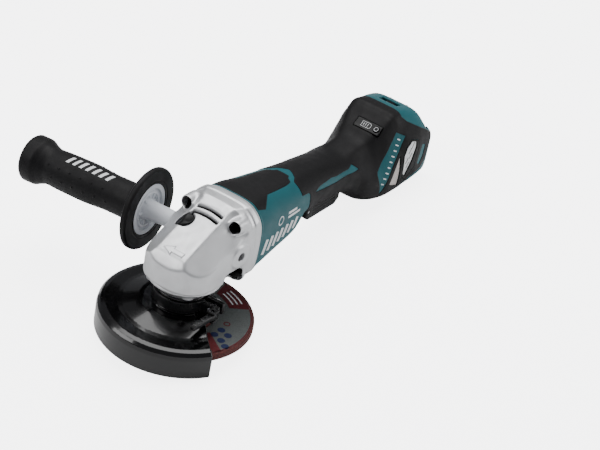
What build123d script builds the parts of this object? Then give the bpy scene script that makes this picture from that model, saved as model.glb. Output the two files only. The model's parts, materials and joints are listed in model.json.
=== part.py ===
"""Cordless angle grinder with a 125 mm wheel and a paddle switch, in millimetres.

The origin is the centre of the spindle nose's end face.  +Z runs up along the spindle,
+X runs back from the spindle to the battery end, and +Y points to the side handle.
"""
from build123d import *
import math
import os

# Grinding wheel and its clamping parts
WHEEL_RADIUS = 62.5
WHEEL_BORE = 11.115
WHEEL_RIM_LOW = 5.0
WHEEL_THICKNESS = 6.0
WHEEL_OFFSET = 4.5              # how far the hub sits above the rim
RING_RADIUS = 12.4              # metal ring moulded into the wheel's bore
LABEL_THICKNESS = 0.3
NUT_RADIUS = 20.5
NUT_LOW = 4.0
FLANGE_RADIUS = 20.0

# Spindle and bevel gears
SPINDLE_NOSE = 7.0              # M14 thread, as its outside radius
NOSE_LENGTH = 3.6               # free end below the lock nut
NOSE_GROOVE = 6.2
THREAD_RADIUS = 6.9             # the thread under the nut and flange, with a little play
SPINDLE_SHOULDER = 19.5
SPINDLE_NECK = 8.5
SPINDLE_SEAT = 5.97             # turns inside the 6 mm radius bearing
SPINDLE_TOP = 82.0
MOTOR_Z = 71.5                  # height of the motor's axis
GEAR_TEETH = 34
PINION_TEETH = 10
GEAR_PITCH = 22.0
PINION_PITCH = GEAR_PITCH * PINION_TEETH / GEAR_TEETH
CONE_LENGTH = math.hypot(GEAR_PITCH, PINION_PITCH)
TOOTH_LENGTH = 6.5
TOOTH_HEIGHT = 0.95             # above the pitch cone
TOOTH_DEPTH = 1.35              # below the pitch cone
TOOTH_WIDTH = 1.55

# Guard
GUARD_RADIUS = 66.8
GUARD_SHEET = 1.8
GUARD_TOP = 16.0
GUARD_SKIRT_LOW = -8.0
COLLAR_INNER = 20.05            # turns on the 20 mm radius neck
COLLAR_OUTER = 21.6
COLLAR_TOP = 36.0
GUARD_OPENING = -27.0           # direction of the open side, in degrees
CLAMP_ANGLE = -85.0
CLAMP_LOW = 24.0
CLAMP_HIGH = 34.0

# Gear head
HEAD_RADIUS = 31.5
HEAD_FLOOR = 48.0
HEAD_WALL = 3.0
RIM_FRONT = 34.0
RIM_BACK = 51.0
PLATEAU_LOW = (-25.0, 76.0)     # front edge of the sloping top, as x and z
PLATEAU_HIGH = (24.0, 99.0)
PLATEAU_HALF = 14.0
TOP_SCREW = (24.5, 93.0)        # y and z of the two upper case screws
LOW_SCREW = (27.0, 46.0)
LOCK_BUTTON = (7.0, 12.5)
BUTTON_RADIUS = 7.0
LOCK_PIN = (5.5, 10.0)
LOCK_TRAVEL = 4.0
SIDE_HOLE = (25.0, 34.5, 69.5)  # mouth of the side handle's thread
SIDE_LEAN = (-0.08, 1.0, -0.03)
SIDE_THREAD = 4.0               # M8, as a radius
SIDE_DEPTH = 12.0

# Body cross-sections: x, lowest z, highest z, half width, half width of the flat top,
# z of the shoulder, half width of the flat bottom, z of the lower chine
RIM = [(RIM_FRONT, 37, 103, 33.6, 22, 90, 29, 43), (RIM_BACK, 37, 103, 33.6, 22, 90, 29, 43)]
MOTOR_HOUSING = [
    (RIM_BACK, 37.5, 102.5, 33, 21, 90, 28, 44),
    (62, 39, 102, 32.5, 20, 90, 26, 46),
    (90, 40, 98.5, 30, 18, 87, 23, 50),
    (117, 42, 95.5, 27.5, 15, 85, 20, 53),
    (134, 55, 94, 25, 13, 84, 17, 62),
]
HANDLE = [
    (134, 55, 94, 25, 13, 84, 17, 62),
    (150, 55, 92.5, 23.5, 12, 83, 15, 62),
    (185, 52, 88, 23, 12, 79, 15, 59),
    (203, 50, 86, 24.5, 13, 77, 16, 57),
    (222, 38, 88.5, 32, 13, 60, 24, 48),
    (240, 33.5, 96.5, 36, 17.5, 55, 29, 43),
    (251, 32.4, 104.2, 38, 21.5, 58, 30, 41.5),
    (262, 32, 112, 38, 22.5, 70, 30, 41),
    (272, 32, 110.5, 38, 21, 84, 30, 41),
]
HANDLE_SCREWS = [(144.0, 84.0), (210.0, 66.0), (262.0, 84.0)]   # x and z
TERMINAL_END = [
    (272, 32, 110.5, 38, 21, 84, 30, 41),
    (290, 33, 107, 38, 22, 89, 31, 41),
    (300, 33.5, 104, 37.5, 22, 88, 31, 41),
    (314, 35, 88, 36.5, 24, 84, 31, 41),
]
SKIN = 1.6                      # thickness of the soft overmould
CASE_WALL = 4.0                 # overmould and shell together
FAR = 400.0                     # longer than the whole tool

# Motor
NAMEPLATE_LENGTH = 50.0
NAMEPLATE_HEIGHT = 27.0
SHAFT_RADIUS = 3.97
BEARING_BORE = 4.0
BEARING_OUTER = 11.0
BEARING_WIDTH = 7.0
FRONT_BEARING = 38.5
REAR_BEARING = 103.0
STATOR_RADIUS = 23.5
STATOR_BORE = 14.0
STATOR_FRONT = 64.0
STATOR_BACK = 92.0

# Paddle switch
PADDLE_PIVOT = (196.0, 60.0)
PADDLE_HALF = 16.5
PADDLE_LOW = 42.0
LEVER_PIVOT = (152.0, 51.0)
PLUNGER_X = 165.0
PIN_RADIUS = 1.5
PIN_PLAY = 0.06

CONTROLLER_FRONT = 240.0
WIRE_START = 112.5

# Rear end
DIAL_CENTRE = (287.0, 0.0, 96.5)
DIAL_RADIUS = 9.5
DIAL_WIDTH = 6.0
RECESS_FLOOR = 303.0            # x of the battery recess's back wall
RECESS_HALF = 30.0
RECESS_LOW = 43.0
GAUGE_CENTRE = (244.0, -5.9, 99.4)
BUTTON_WELL = 3.3               # radius of the shell's hole under the gauge's button
GAUGE_SLOPE = math.degrees(math.atan2(12.0, 18.0))


def turned(points):
    """Turn an outline of (radius, height) points about the spindle's axis."""
    outline = Polyline(*[(radius, 0, height) for radius, height in points], close=True)
    return revolve(make_face(outline), Axis.Z)


def turned_about_motor(points):
    """Turn an outline of (x, radius) points about the motor's axis."""
    outline = Polyline(*[(x, 0, MOTOR_Z + radius) for x, radius in points], close=True)
    return revolve(make_face(outline), Axis((0, 0, MOTOR_Z), (1, 0, 0)))


def block(x0, x1, y0, y1, z0, z1):
    """A box between two corners."""
    centre = Pos((x0 + x1) / 2, (y0 + y1) / 2, (z0 + z1) / 2)
    return centre * Box(x1 - x0, y1 - y0, z1 - z0)


def rod(start, direction, radius, length):
    """A round bar from a point along a direction."""
    return Plane(origin=start, z_dir=direction) * extrude(Circle(radius), length)


def side_prism(points, y0, y1):
    """An outline of (x, z) points, made solid from y0 to y1."""
    outline = Polyline(*[(x, y0, z) for x, z in points], close=True)
    return extrude(make_face(outline), y1 - y0, dir=(0, 1, 0))


def moved_corners(flat_end, side_end, inset):
    """Both ends of a sloping edge between a flat edge and an upright one, all moved inward."""
    run = side_end[0] - flat_end[0]
    drop = flat_end[1] - side_end[1]
    length = math.hypot(run, drop)
    inward = math.copysign(inset, drop)
    flat_slip = inset * (length - run) / abs(drop)
    side_slip = inward * (length - abs(drop)) / run
    return (flat_end[0] - flat_slip, flat_end[1] - inward), (side_end[0] - inset, side_end[1] - side_slip)


def section(values, inset):
    """One eight-sided cross-section of the body, moved inward by inset."""
    x, low, high, half, top_half, shoulder, bottom_half, chine = values
    top, upper = moved_corners((top_half, high), (half, shoulder), inset)
    bottom, lower = moved_corners((bottom_half, low), (half, chine), inset)
    right = [top, upper, lower, bottom]
    left = [(-y, z) for y, z in reversed(right)]
    return make_face(Polyline(*[(x, y, z) for y, z in right + left], close=True))


def body_form(sections, inset=0.0):
    """The solid that runs through a list of cross-sections."""
    return loft([section(values, inset) for values in sections], ruled=True)


def half(shape, side):
    """The part of a shape on one side of the tool's middle plane."""
    return shape & block(-FAR, FAR, min(0, side * FAR), max(0, side * FAR), -FAR, FAR)


def case_screws_at(y, z, x, radius, length):
    """Bars along X at a mirrored pair of places."""
    return [rod((x, side * y, z), (1, 0, 0), radius, length) for side in (-1, 1)]


# ---------------------------------------------------------------- wheel and spindle

def make_wheel():
    hub_low = WHEEL_RIM_LOW + WHEEL_OFFSET
    rim_high = WHEEL_RIM_LOW + WHEEL_THICKNESS
    hub_high = hub_low + WHEEL_THICKNESS
    return turned([
        (RING_RADIUS, hub_low), (21.0, hub_low), (28.0, WHEEL_RIM_LOW),
        (WHEEL_RADIUS, WHEEL_RIM_LOW), (WHEEL_RADIUS, rim_high), (29.5, rim_high),
        (22.5, hub_high), (RING_RADIUS, hub_high),
    ])


def make_wheel_ring():
    hub_low = WHEEL_RIM_LOW + WHEEL_OFFSET
    hub_high = hub_low + WHEEL_THICKNESS
    return turned([(WHEEL_BORE, hub_low), (RING_RADIUS, hub_low), (RING_RADIUS, hub_high),
                   (WHEEL_BORE, hub_high)])


def make_wheel_label():
    low = WHEEL_RIM_LOW + WHEEL_THICKNESS
    high = low + LABEL_THICKNESS
    return turned([(30.0, low), (60.5, low), (60.5, high), (30.0, high)])


def make_lock_nut():
    hub_low = WHEEL_RIM_LOW + WHEEL_OFFSET
    nut = turned([
        (SPINDLE_NOSE, NUT_LOW), (NUT_RADIUS, NUT_LOW), (NUT_RADIUS, hub_low),
        (11.0, hub_low), (11.0, hub_low + 2.0), (SPINDLE_NOSE, hub_low + 2.0),
    ])
    for place in PolarLocations(15.0, 4):
        nut -= Pos(0, 0, NUT_LOW) * place * extrude(Circle(2.5), 3.5)
    return nut


def make_inner_flange():
    hub_high = WHEEL_RIM_LOW + WHEEL_OFFSET + WHEEL_THICKNESS
    return turned([
        (SPINDLE_NOSE, hub_high - 2.0), (11.0, hub_high - 2.0), (11.0, hub_high),
        (FLANGE_RADIUS, hub_high), (FLANGE_RADIUS, SPINDLE_SHOULDER),
        (SPINDLE_NOSE, SPINDLE_SHOULDER),
    ])


def make_spindle():
    return turned([
        (0, 0), (SPINDLE_NOSE, 0), (SPINDLE_NOSE, NOSE_LENGTH), (NOSE_GROOVE, NOSE_LENGTH),
        (NOSE_GROOVE, 4.4), (THREAD_RADIUS, 4.4), (THREAD_RADIUS, SPINDLE_SHOULDER),
        (SPINDLE_NECK, SPINDLE_SHOULDER), (SPINDLE_NECK, 41.5), (SPINDLE_SEAT, 41.5),
        (SPINDLE_SEAT, 52.5), (5.0, 52.5), (5.0, 68.0), (3.97, 68.0),
        (3.97, SPINDLE_TOP), (0, SPINDLE_TOP),
    ])


def bevel_tooth(pitch_point, outward, across, root):
    """A straight bevel tooth that narrows to where the two axes cross."""
    apex = Vector(0, 0, MOTOR_Z)
    middle = Vector(*pitch_point) - apex
    up = Vector(*outward)
    side = Vector(*across)
    slope = 0.36                                   # half the tooth's taper, tip to root
    tip_half = TOOTH_WIDTH / 2 - slope * TOOTH_HEIGHT
    root_half = TOOTH_WIDTH / 2 + slope * root
    corners = [
        middle + up * TOOTH_HEIGHT + side * tip_half,
        middle + up * TOOTH_HEIGHT - side * tip_half,
        middle - up * root - side * root_half,
        middle - up * root + side * root_half,
    ]
    inner = (CONE_LENGTH - TOOTH_LENGTH) / CONE_LENGTH
    faces = [make_face(Polyline(*[apex + corner * scale for corner in corners], close=True))
             for scale in (1.0, inner)]
    return loft(faces, ruled=True)


def root_cone_ends():
    """How far along the root cone a gear's blank runs, past both ends of its teeth."""
    inner = (CONE_LENGTH - TOOTH_LENGTH) / CONE_LENGTH
    return 1.03, inner * 0.95


def make_bevel_gear():
    """The large gear on the spindle, with its teeth facing up."""
    cos_cone = GEAR_PITCH / CONE_LENGTH
    sin_cone = PINION_PITCH / CONE_LENGTH
    outer_z = MOTOR_Z - PINION_PITCH
    root = (GEAR_PITCH - TOOTH_DEPTH * sin_cone, outer_z - TOOTH_DEPTH * cos_cone)
    outer_root, inner_root = [(root[0] * scale, MOTOR_Z + (root[1] - MOTOR_Z) * scale)
                              for scale in root_cone_ends()]
    web_high = 62.0
    gear = turned([
        (5.0, 54.0), (9.0, 54.0), (12.0, 57.0), (root[0] - 1.0, 59.5), outer_root, inner_root,
        (inner_root[0], web_high), (8.0, web_high), (8.0, 66.0), (5.0, 66.0),
    ])
    teeth = []
    for index in range(GEAR_TEETH):
        angle = math.radians((index + 0.5) * 360 / GEAR_TEETH)
        c, s = math.cos(angle), math.sin(angle)
        teeth.append(bevel_tooth((GEAR_PITCH * c, GEAR_PITCH * s, outer_z),
                                 (sin_cone * c, sin_cone * s, cos_cone), (-s, c, 0),
                                 TOOTH_DEPTH + 0.4))
    gear += teeth
    lock_radius = math.hypot(*LOCK_PIN)
    lock_angle = math.degrees(math.atan2(LOCK_PIN[1], LOCK_PIN[0]))
    for index in range(4):
        angle = math.radians(lock_angle + 90 * index)
        gear -= rod((lock_radius * math.cos(angle), lock_radius * math.sin(angle), 50),
                    (0, 0, 1), 2.8, 20)
    return gear


def make_pinion():
    """The small gear on the motor's shaft."""
    cos_cone = GEAR_PITCH / CONE_LENGTH
    sin_cone = PINION_PITCH / CONE_LENGTH
    root = (GEAR_PITCH + TOOTH_DEPTH * sin_cone, PINION_PITCH - TOOTH_DEPTH * cos_cone)
    outer_root, inner_root = [(root[0] * scale, root[1] * scale) for scale in root_cone_ends()]
    pinion = turned_about_motor([
        (inner_root[0], 2.6), inner_root, outer_root,
        (26.0, outer_root[1]), (29.0, 7.0), (33.0, 7.0), (33.0, 2.6),
    ])
    teeth = []
    for index in range(PINION_TEETH):
        angle = math.radians(index * 360 / PINION_TEETH)
        s, c = math.sin(angle), -math.cos(angle)
        teeth.append(bevel_tooth(
            (GEAR_PITCH, PINION_PITCH * s, MOTOR_Z + PINION_PITCH * c),
            (-sin_cone, cos_cone * s, cos_cone * c), (0, -c, s), TOOTH_DEPTH + 0.4))
    return pinion + teeth


# ---------------------------------------------------------------- guard

def make_guard():
    """The pressed guard: a half dish with a raised middle and a collar."""
    low = GUARD_TOP - GUARD_SHEET
    inner_radius = GUARD_RADIUS - GUARD_SHEET
    hump = 22.2
    dish = turned([
        (COLLAR_INNER, hump - GUARD_SHEET), (30.0, hump - GUARD_SHEET), (50.0, low),
        (62.0, low), (inner_radius, 11.2), (inner_radius, GUARD_SKIRT_LOW),
        (GUARD_RADIUS, GUARD_SKIRT_LOW), (GUARD_RADIUS, 11.9), (62.7, GUARD_TOP),
        (50.0, GUARD_TOP), (30.0, hump), (COLLAR_OUTER, hump), (COLLAR_OUTER, COLLAR_TOP),
        (COLLAR_INNER, COLLAR_TOP),
    ])
    cut = [(-0.5, -80), (-0.5, -62), (7.0, -34), (7.0, 34), (-0.5, 62), (-0.5, 80), (90, 80),
           (90, -80)]
    opening = extrude(make_face(Polyline(*[(x, y, -20) for x, y in cut], close=True)), 80,
                      dir=(0, 0, 1))
    opening -= rod((0, 0, -20), (0, 0, 1), 31.0, 80)
    return dish - Rot(0, 0, GUARD_OPENING) * opening


def make_clamp_band():
    """The band that grips the guard's collar, with two ears for its screw."""
    band = turned([(COLLAR_OUTER, CLAMP_LOW), (23.4, CLAMP_LOW), (23.4, CLAMP_HIGH),
                   (COLLAR_OUTER, CLAMP_HIGH)])
    for y0, y1 in ((-6.0, -2.0), (2.0, 6.0)):
        band += block(22.0, 38.0, y0, y1, CLAMP_LOW, CLAMP_HIGH)
    band -= rod((0, 0, 0), (0, 0, 1), COLLAR_OUTER, 60)
    band -= block(15.0, 40.0, -2.0, 2.0, 20.0, 40.0)
    band -= rod((30.5, -10, 29), (0, 1, 0), 2.0, 30)
    ear = block(33.0, 40.0, -14.0, -6.0, 24.0, 26.0) + block(33.0, 40.0, -14.0, -6.0, 32.0, 34.0)
    ear += block(33.0, 38.0, -7.0, -6.0, 24.0, 34.0)
    band += ear
    band -= rod((36.5, -10.5, 20), (0, 0, 1), PIN_RADIUS, 20)
    return Rot(0, 0, CLAMP_ANGLE) * band


def make_clamp_screw():
    """The clamp's cross screw and its nut, as two solids."""
    screw = rod((30.5, -6, 29), (0, 1, 0), 2.0, 13.5)
    screw += rod((30.5, 6, 29), (0, 1, 0), 3.6, 3.0)
    slot = block(29.0, 32.0, 8.0, 9.5, 28.4, 29.6)
    return Rot(0, 0, CLAMP_ANGLE) * (screw - slot)


def make_guard_lever():
    """The lever that frees the guard; it swings on an upright pin."""
    arm = extrude(make_face(Polyline((33.5, -12.5, 26.4), (39.0, -12.5, 26.4),
                                     (36.0, -36.0, 26.4), (31.0, -36.0, 26.4), close=True)),
                  5.2, dir=(0, 0, 1))
    arm += rod((36.5, -10.5, 26.4), (0, 0, 1), 3.2, 5.2)
    arm -= rod((36.5, -10.5, 20), (0, 0, 1), PIN_RADIUS + PIN_PLAY, 20)
    return Rot(0, 0, CLAMP_ANGLE) * arm


def make_lever_pin():
    return Rot(0, 0, CLAMP_ANGLE) * rod((36.5, -10.5, 24.0), (0, 0, 1), PIN_RADIUS, 10.0)


# ---------------------------------------------------------------- gear head

def plateau_rise():
    return (PLATEAU_HIGH[1] - PLATEAU_LOW[1]) / (PLATEAU_HIGH[0] - PLATEAU_LOW[0])


def plateau_plane(lift):
    """The plane of the head's sloping top, raised by lift."""
    return Plane(origin=(PLATEAU_LOW[0], 0, PLATEAU_LOW[1] + lift), z_dir=(-plateau_rise(), 0, 1))


def head_core(inset):
    """The bowl and sloping top of the gear head, moved inward by inset."""
    core = Pos(0, 0, HEAD_FLOOR - 0.1) * extrude(Circle(HEAD_RADIUS - inset), 60)
    core += block(0, RIM_FRONT + 2, -HEAD_RADIUS + inset, HEAD_RADIUS - inset,
                  HEAD_FLOOR - 0.1 + inset, 108)
    core = split(core, bisect_by=plateau_plane(-1.1 * inset), keep=Keep.BOTTOM)
    core = split(core, bisect_by=Plane(origin=(0, 0, 101.5 - inset), z_dir=(0, 0, 1)),
                 keep=Keep.BOTTOM)
    nose = Plane(origin=(PLATEAU_LOW[0] + inset, 0, PLATEAU_LOW[1]), z_dir=(-1, 0, 0.75))
    core = split(core, bisect_by=nose, keep=Keep.BOTTOM)
    for side in (-1, 1):
        edge = Vector(PLATEAU_LOW[0], side * (PLATEAU_HALF - inset), PLATEAU_LOW[1] - inset)
        roof = Plane(origin=edge, z_dir=(-0.72 * plateau_rise(), side * 0.69, 0.72))
        core = split(core, bisect_by=roof, keep=Keep.BOTTOM)
    return core


def side_boss_plane(side):
    """The plane of a side handle hole's mouth, looking outward."""
    x, y, z = SIDE_HOLE
    lean_x, lean_y, lean_z = SIDE_LEAN
    return Plane(origin=(x, side * y, z), z_dir=(lean_x, side * lean_y, lean_z))


def make_gear_housing():
    """The die-cast head: bowl, sloping top, bolted rim and side handle bosses."""
    belly = body_form([(22, 47.9, 70, 26, 20, 60, 20, 52), (RIM_FRONT, 39, 70, 32, 20, 60, 27, 45)])
    outer = head_core(0) + body_form(RIM) + belly
    cavity = head_core(HEAD_WALL) + body_form(RIM, HEAD_WALL)
    housing = outer - cavity - rod((0, 0, 20), (0, 0, 1), HEAD_RADIUS - 0.1, HEAD_FLOOR - 20.1)
    bosses = Part() + case_screws_at(*TOP_SCREW, 30, 4.2, 21) + case_screws_at(*LOW_SCREW, 30, 4.2, 21)
    housing += bosses & outer
    for side in (-1, 1):
        plane = side_boss_plane(side)
        housing += plane * Pos(0, 0, -14) * extrude(Circle(7.5), 14)
        housing -= plane * Pos(0, 0, -SIDE_DEPTH) * extrude(Circle(SIDE_THREAD), SIDE_DEPTH + 5)
    x, y = LOCK_BUTTON
    hub = rod((0, 0, 74), (0, 0, 1), 7.2, 20) + rod((x, y, 80.5), (0, 0, 1), BUTTON_RADIUS + 2.3, 20)
    posts = Part() + [screw_post(25.5 * math.cos(angle), 25.5 * math.sin(angle))
                      for angle in bearing_box_angles()]
    housing += (hub + posts) & head_core(0)
    housing -= rod((0, 0, 70), (0, 0, 1), 5.5, 14)
    housing -= rod((x, y, 70), (0, 0, 1), BUTTON_RADIUS + 0.3, 40)
    for angle in bearing_box_angles():
        housing -= rod((25.5 * math.cos(angle), 25.5 * math.sin(angle), 45), (0, 0, 1), 1.5, 12)
    for screw in (TOP_SCREW, LOW_SCREW):
        for hole in case_screws_at(*screw, 20, 2.2, 40):
            housing -= hole
        for pocket in case_screws_at(*screw, 18, 5.0, RIM_FRONT - 18):
            housing -= pocket
    for x_slot in (16.5, 21.5):
        housing -= Pos(x_slot, 0, 95) * extrude(SlotOverall(26, 2.6, rotation=90), 20, both=True)
    return housing


def screw_post(x, y):
    """A post for one bearing box screw, with a rib out to the side wall."""
    y0, y1 = sorted((y, math.copysign(HEAD_RADIUS - 1, y)))
    return rod((x, y, 51.5), (0, 0, 1), 3.2, 6.5) + block(x - 2, x + 2, y0, y1, 51.5, 58)


def bearing_box_angles():
    return [math.radians(angle) for angle in (45, 135, 225, 315)]


def make_bearing_box():
    """The lower cover of the head; it holds the main bearing and the guard's neck."""
    box = turned([
        (9.5, 22.5), (20.0, 22.5), (20.0, 38.0), (22.5, 39.0), (30.5, 45.0), (31.2, 45.0),
        (31.2, 47.9), (28.4, 47.9), (28.4, 51.4), (16.0, 51.4), (16.0, 42.0), (9.5, 42.0),
    ])
    for angle in bearing_box_angles():
        x, y = 25.5 * math.cos(angle), 25.5 * math.sin(angle)
        box -= rod((x, y, 30), (0, 0, 1), 3.4, 15)
        box -= rod((x, y, 30), (0, 0, 1), 1.7, 30)
    return box


def make_bearing_box_screws():
    screws = []
    for angle in bearing_box_angles():
        x, y = 25.5 * math.cos(angle), 25.5 * math.sin(angle)
        screws.append(rod((x, y, 42.5), (0, 0, 1), 3.0, 2.5) + rod((x, y, 45), (0, 0, 1), 1.5, 12))
    return Compound(screws)


def make_spindle_bearing():
    return turned([(6.0, 42.0), (16.0, 42.0), (16.0, 52.0), (6.0, 52.0)])


def make_needle_bearing():
    return turned([(4.0, 75.0), (5.5, 75.0), (5.5, 83.0), (4.0, 83.0)])


def make_gear_housing_screws():
    screws = []
    for y, z in (TOP_SCREW, LOW_SCREW):
        for side in (-1, 1):
            start = (RIM_FRONT, side * y, z)
            head = rod((RIM_FRONT - 3.2, side * y, z), (1, 0, 0), 4.0, 3.2)
            cross = block(RIM_FRONT - 3.2, RIM_FRONT - 1.6, side * y - 2.2, side * y + 2.2,
                          z - 0.5, z + 0.5)
            screws.append(head - cross + rod(start, (1, 0, 0), 2.0, 29.0))
    return Compound(screws)


def make_bearing_retainer():
    """The plate between the head and the motor housing, with the front motor bearing."""
    plate = body_form(RIM, HEAD_WALL + 0.05) & block(37.0, 46.0, -50, 50, 0, 120)
    for screw in (TOP_SCREW, LOW_SCREW):
        for hole in case_screws_at(*screw, 20, 4.4, 40):
            plate -= hole
    for side in (-1, 1):
        plate -= side_boss_plane(side) * Pos(0, 0, -16) * extrude(Circle(8.5), 30)
    plate -= rod((30, 0, MOTOR_Z), (1, 0, 0), 8.0, 30)
    plate -= rod((FRONT_BEARING, 0, MOTOR_Z), (1, 0, 0), BEARING_OUTER, 30)
    for index in range(6):
        angle = math.radians(60 * index)
        plate -= rod((30, 19 * math.sin(angle), MOTOR_Z + 19 * math.cos(angle)), (1, 0, 0), 4.5, 30)
    return plate


def make_lock_button():
    x, y = LOCK_BUTTON
    button = rod((x, y, 80.0), (0, 0, 1), BUTTON_RADIUS, 16.0)
    return split(button, bisect_by=plateau_plane(1.0), keep=Keep.BOTTOM)


def make_lock_pin():
    x, y = LOCK_PIN
    return rod((x, y, 66.5), (0, 0, 1), 2.3, 13.5)


# ---------------------------------------------------------------- motor

def make_motor_bearing(x):
    return turned_about_motor([(x, BEARING_BORE), (x + BEARING_WIDTH, BEARING_BORE),
                               (x + BEARING_WIDTH, BEARING_OUTER), (x, BEARING_OUTER)])


def make_rotor_shaft():
    return turned_about_motor([
        (15.0, 0), (15.0, 2.6), (33.0, 2.6), (33.0, SHAFT_RADIUS), (112.0, SHAFT_RADIUS), (112.0, 0),
    ])


def make_rotor_core():
    return turned_about_motor([
        (STATOR_FRONT, SHAFT_RADIUS), (STATOR_BACK, SHAFT_RADIUS), (STATOR_BACK, 11.0),
        (STATOR_FRONT, 11.0),
    ])


def make_rotor_magnets():
    """Four curved magnets on the rotor, as separate solids."""
    ring = turned_about_motor([(STATOR_FRONT + 1, 11.0), (STATOR_BACK - 1, 11.0),
                               (STATOR_BACK - 1, 13.4), (STATOR_FRONT + 1, 13.4)])
    magnets = []
    for index in range(4):
        wedge = extrude(make_face(Polyline((0, 0, 0), (0, 30, -20), (0, 30, 20), close=True)),
                        FAR, dir=(1, 0, 0))
        magnets.append(ring & (Pos(0, 0, MOTOR_Z) * Rot(90 * index + 45, 0, 0) * wedge))
    return Compound([solid for magnet in magnets for solid in magnet.solids()])


def make_fan():
    """The cooling fan: a disc with twelve straight blades."""
    fan = turned_about_motor([(52.0, SHAFT_RADIUS), (61.0, SHAFT_RADIUS), (61.0, 8.0),
                              (60.5, 26.0), (58.8, 26.0), (58.8, 9.0), (52.0, 8.0)])
    for index in range(12):
        blade = block(52.5, 59.5, -0.7, 0.7, 7.0, 25.8)
        fan += Pos(0, 0, MOTOR_Z) * Rot(30 * index, 0, 0) * blade
    return fan


def make_stator_core():
    """The laminated stator ring with six inward teeth."""
    core = turned_about_motor([(STATOR_FRONT, 20.0), (STATOR_BACK, 20.0),
                               (STATOR_BACK, STATOR_RADIUS), (STATOR_FRONT, STATOR_RADIUS)])
    for index in range(6):
        tooth = block(STATOR_FRONT, STATOR_BACK, -2.5, 2.5, STATOR_BORE + 0.3, 20.6)
        core += Pos(0, 0, MOTOR_Z) * Rot(60 * index, 0, 0) * tooth
    return core


def make_stator_coils():
    """Six copper windings around the stator's teeth, as separate solids."""
    coils = []
    for index in range(6):
        coil = block(STATOR_FRONT - 2.5, STATOR_BACK + 2.5, -4.6, 4.6, 15.2, 18.6)
        coil -= block(STATOR_FRONT, STATOR_BACK, -2.5, 2.5, 10, 30)
        coils.append(Pos(0, 0, MOTOR_Z) * Rot(60 * index, 0, 0) * coil)
    return Compound(coils)


def make_motor_housing():
    """The tube behind the head; it carries the stator and the rear motor bearing."""
    housing = body_form(MOTOR_HOUSING) - body_form(MOTOR_HOUSING, HEAD_WALL)
    wall = body_form(MOTOR_HOUSING, HEAD_WALL - 0.5) & block(102.0, 112.0, -50, 50, 0, 120)
    housing += wall
    outer = body_form(MOTOR_HOUSING)
    ribs = turned_about_motor([(STATOR_FRONT + 4, STATOR_RADIUS), (STATOR_BACK - 4, STATOR_RADIUS),
                               (STATOR_BACK - 4, 40), (STATOR_FRONT + 4, 40)])
    spokes = Part() + [Pos(0, 0, MOTOR_Z) * Rot(90 * index + 45, 0, 0)
                       * block(STATOR_FRONT + 4, STATOR_BACK - 4, -2, 2, STATOR_RADIUS, 40)
                       for index in range(4)]
    housing += (ribs & spokes) & outer
    bosses = Part() + case_screws_at(*TOP_SCREW, RIM_BACK, 4.2, 15)
    bosses += case_screws_at(*LOW_SCREW, RIM_BACK, 4.2, 15)
    housing += bosses & outer
    for screw in (TOP_SCREW, LOW_SCREW):
        for hole in case_screws_at(*screw, 40, 2.0, 23.0):
            housing -= hole
    housing -= rod((100, 0, MOTOR_Z), (1, 0, 0), BEARING_OUTER, 10.0)
    housing -= rod((100, 0, MOTOR_Z), (1, 0, 0), 6.0, 30)
    for index in range(5):
        angle = math.radians(72 * index)
        housing -= rod((95, 17 * math.sin(angle), MOTOR_Z + 17 * math.cos(angle)), (1, 0, 0), 3.6, 30)
    return housing - nameplate_block()


def nameplate_block():
    """The thin plate let into the +Y side of the motor housing."""
    start, end = MOTOR_HOUSING[1], MOTOR_HOUSING[3]
    lean = math.degrees(math.atan2(start[3] - end[3], end[0] - start[0]))
    middle = (start[3] + end[3]) / 2
    place = Pos((start[0] + end[0]) / 2, middle, 69.0) * Rot(0, 0, -lean)
    return place * Box(NAMEPLATE_LENGTH, 1.0, NAMEPLATE_HEIGHT)


# ---------------------------------------------------------------- handle

def paddle_slot():
    return block(136.5, 202.0, -PADDLE_HALF - 1, PADDLE_HALF + 1, 20, 66)


def filter_prism(side):
    """The triangular dust filter opening in one side of the rear end."""
    outline = [(258, 78), (265, 44.5), (248, 50)]
    return side_prism(outline, min(side * 26, side * 50), max(side * 26, side * 50))


def gauge_block(width, length, height, lift):
    """A block on the sloping face in front of the hump."""
    place = Pos(*GAUGE_CENTRE) * Rot(0, -GAUGE_SLOPE, 0)
    return place * Pos(0, 0, lift - height / 2) * Box(width, length, height)


def dial_slot():
    x, y, z = DIAL_CENTRE
    return block(x - 4.2, x + 4.2, -9.5, 9.5, z - 12, z + 20)


def make_handle_shell(side):
    """One half of the handle's hard shell."""
    shell = body_form(HANDLE, SKIN) - body_form(HANDLE, CASE_WALL)
    shell = half(shell, side)
    shell -= paddle_slot()
    shell -= filter_prism(side)
    shell -= gauge_block(10, 26, 2.6, 0.5)
    shell -= gauge_button_rod(BUTTON_WELL, deep=3.0)
    pivot_x, pivot_z = PADDLE_PIVOT
    shell -= rod((pivot_x, -20.8, pivot_z), (0, 1, 0), PIN_RADIUS, 41.6)
    for x, z in HANDLE_SCREWS:
        post = rod((x, 0, z), (0, side, 0), 3.0, FAR)
        shell += half(post, side) & (body_form(HANDLE, SKIN))
        shell -= rod((x, -60, z), (0, 1, 0), 1.5, 120)
    return shell


def make_handle_skin(side):
    """One half of the soft overmould on the handle."""
    skin = half(body_form(HANDLE) - body_form(HANDLE, SKIN), side)
    skin -= paddle_slot()
    skin -= filter_prism(side)
    skin -= gauge_block(10, 26, 2.6, 0.5)
    return skin


def make_handle_screws():
    """Three screws that hold the handle's halves together."""
    return Compound([rod((x, -12.0, z), (0, 1, 0), 1.5, 24.0) for x, z in HANDLE_SCREWS])


def make_dust_filter(side):
    """The framed mesh that fills the dust filter opening."""
    return filter_prism(side) & (body_form(HANDLE, 0.8) - body_form(HANDLE, 3.6))


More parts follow.
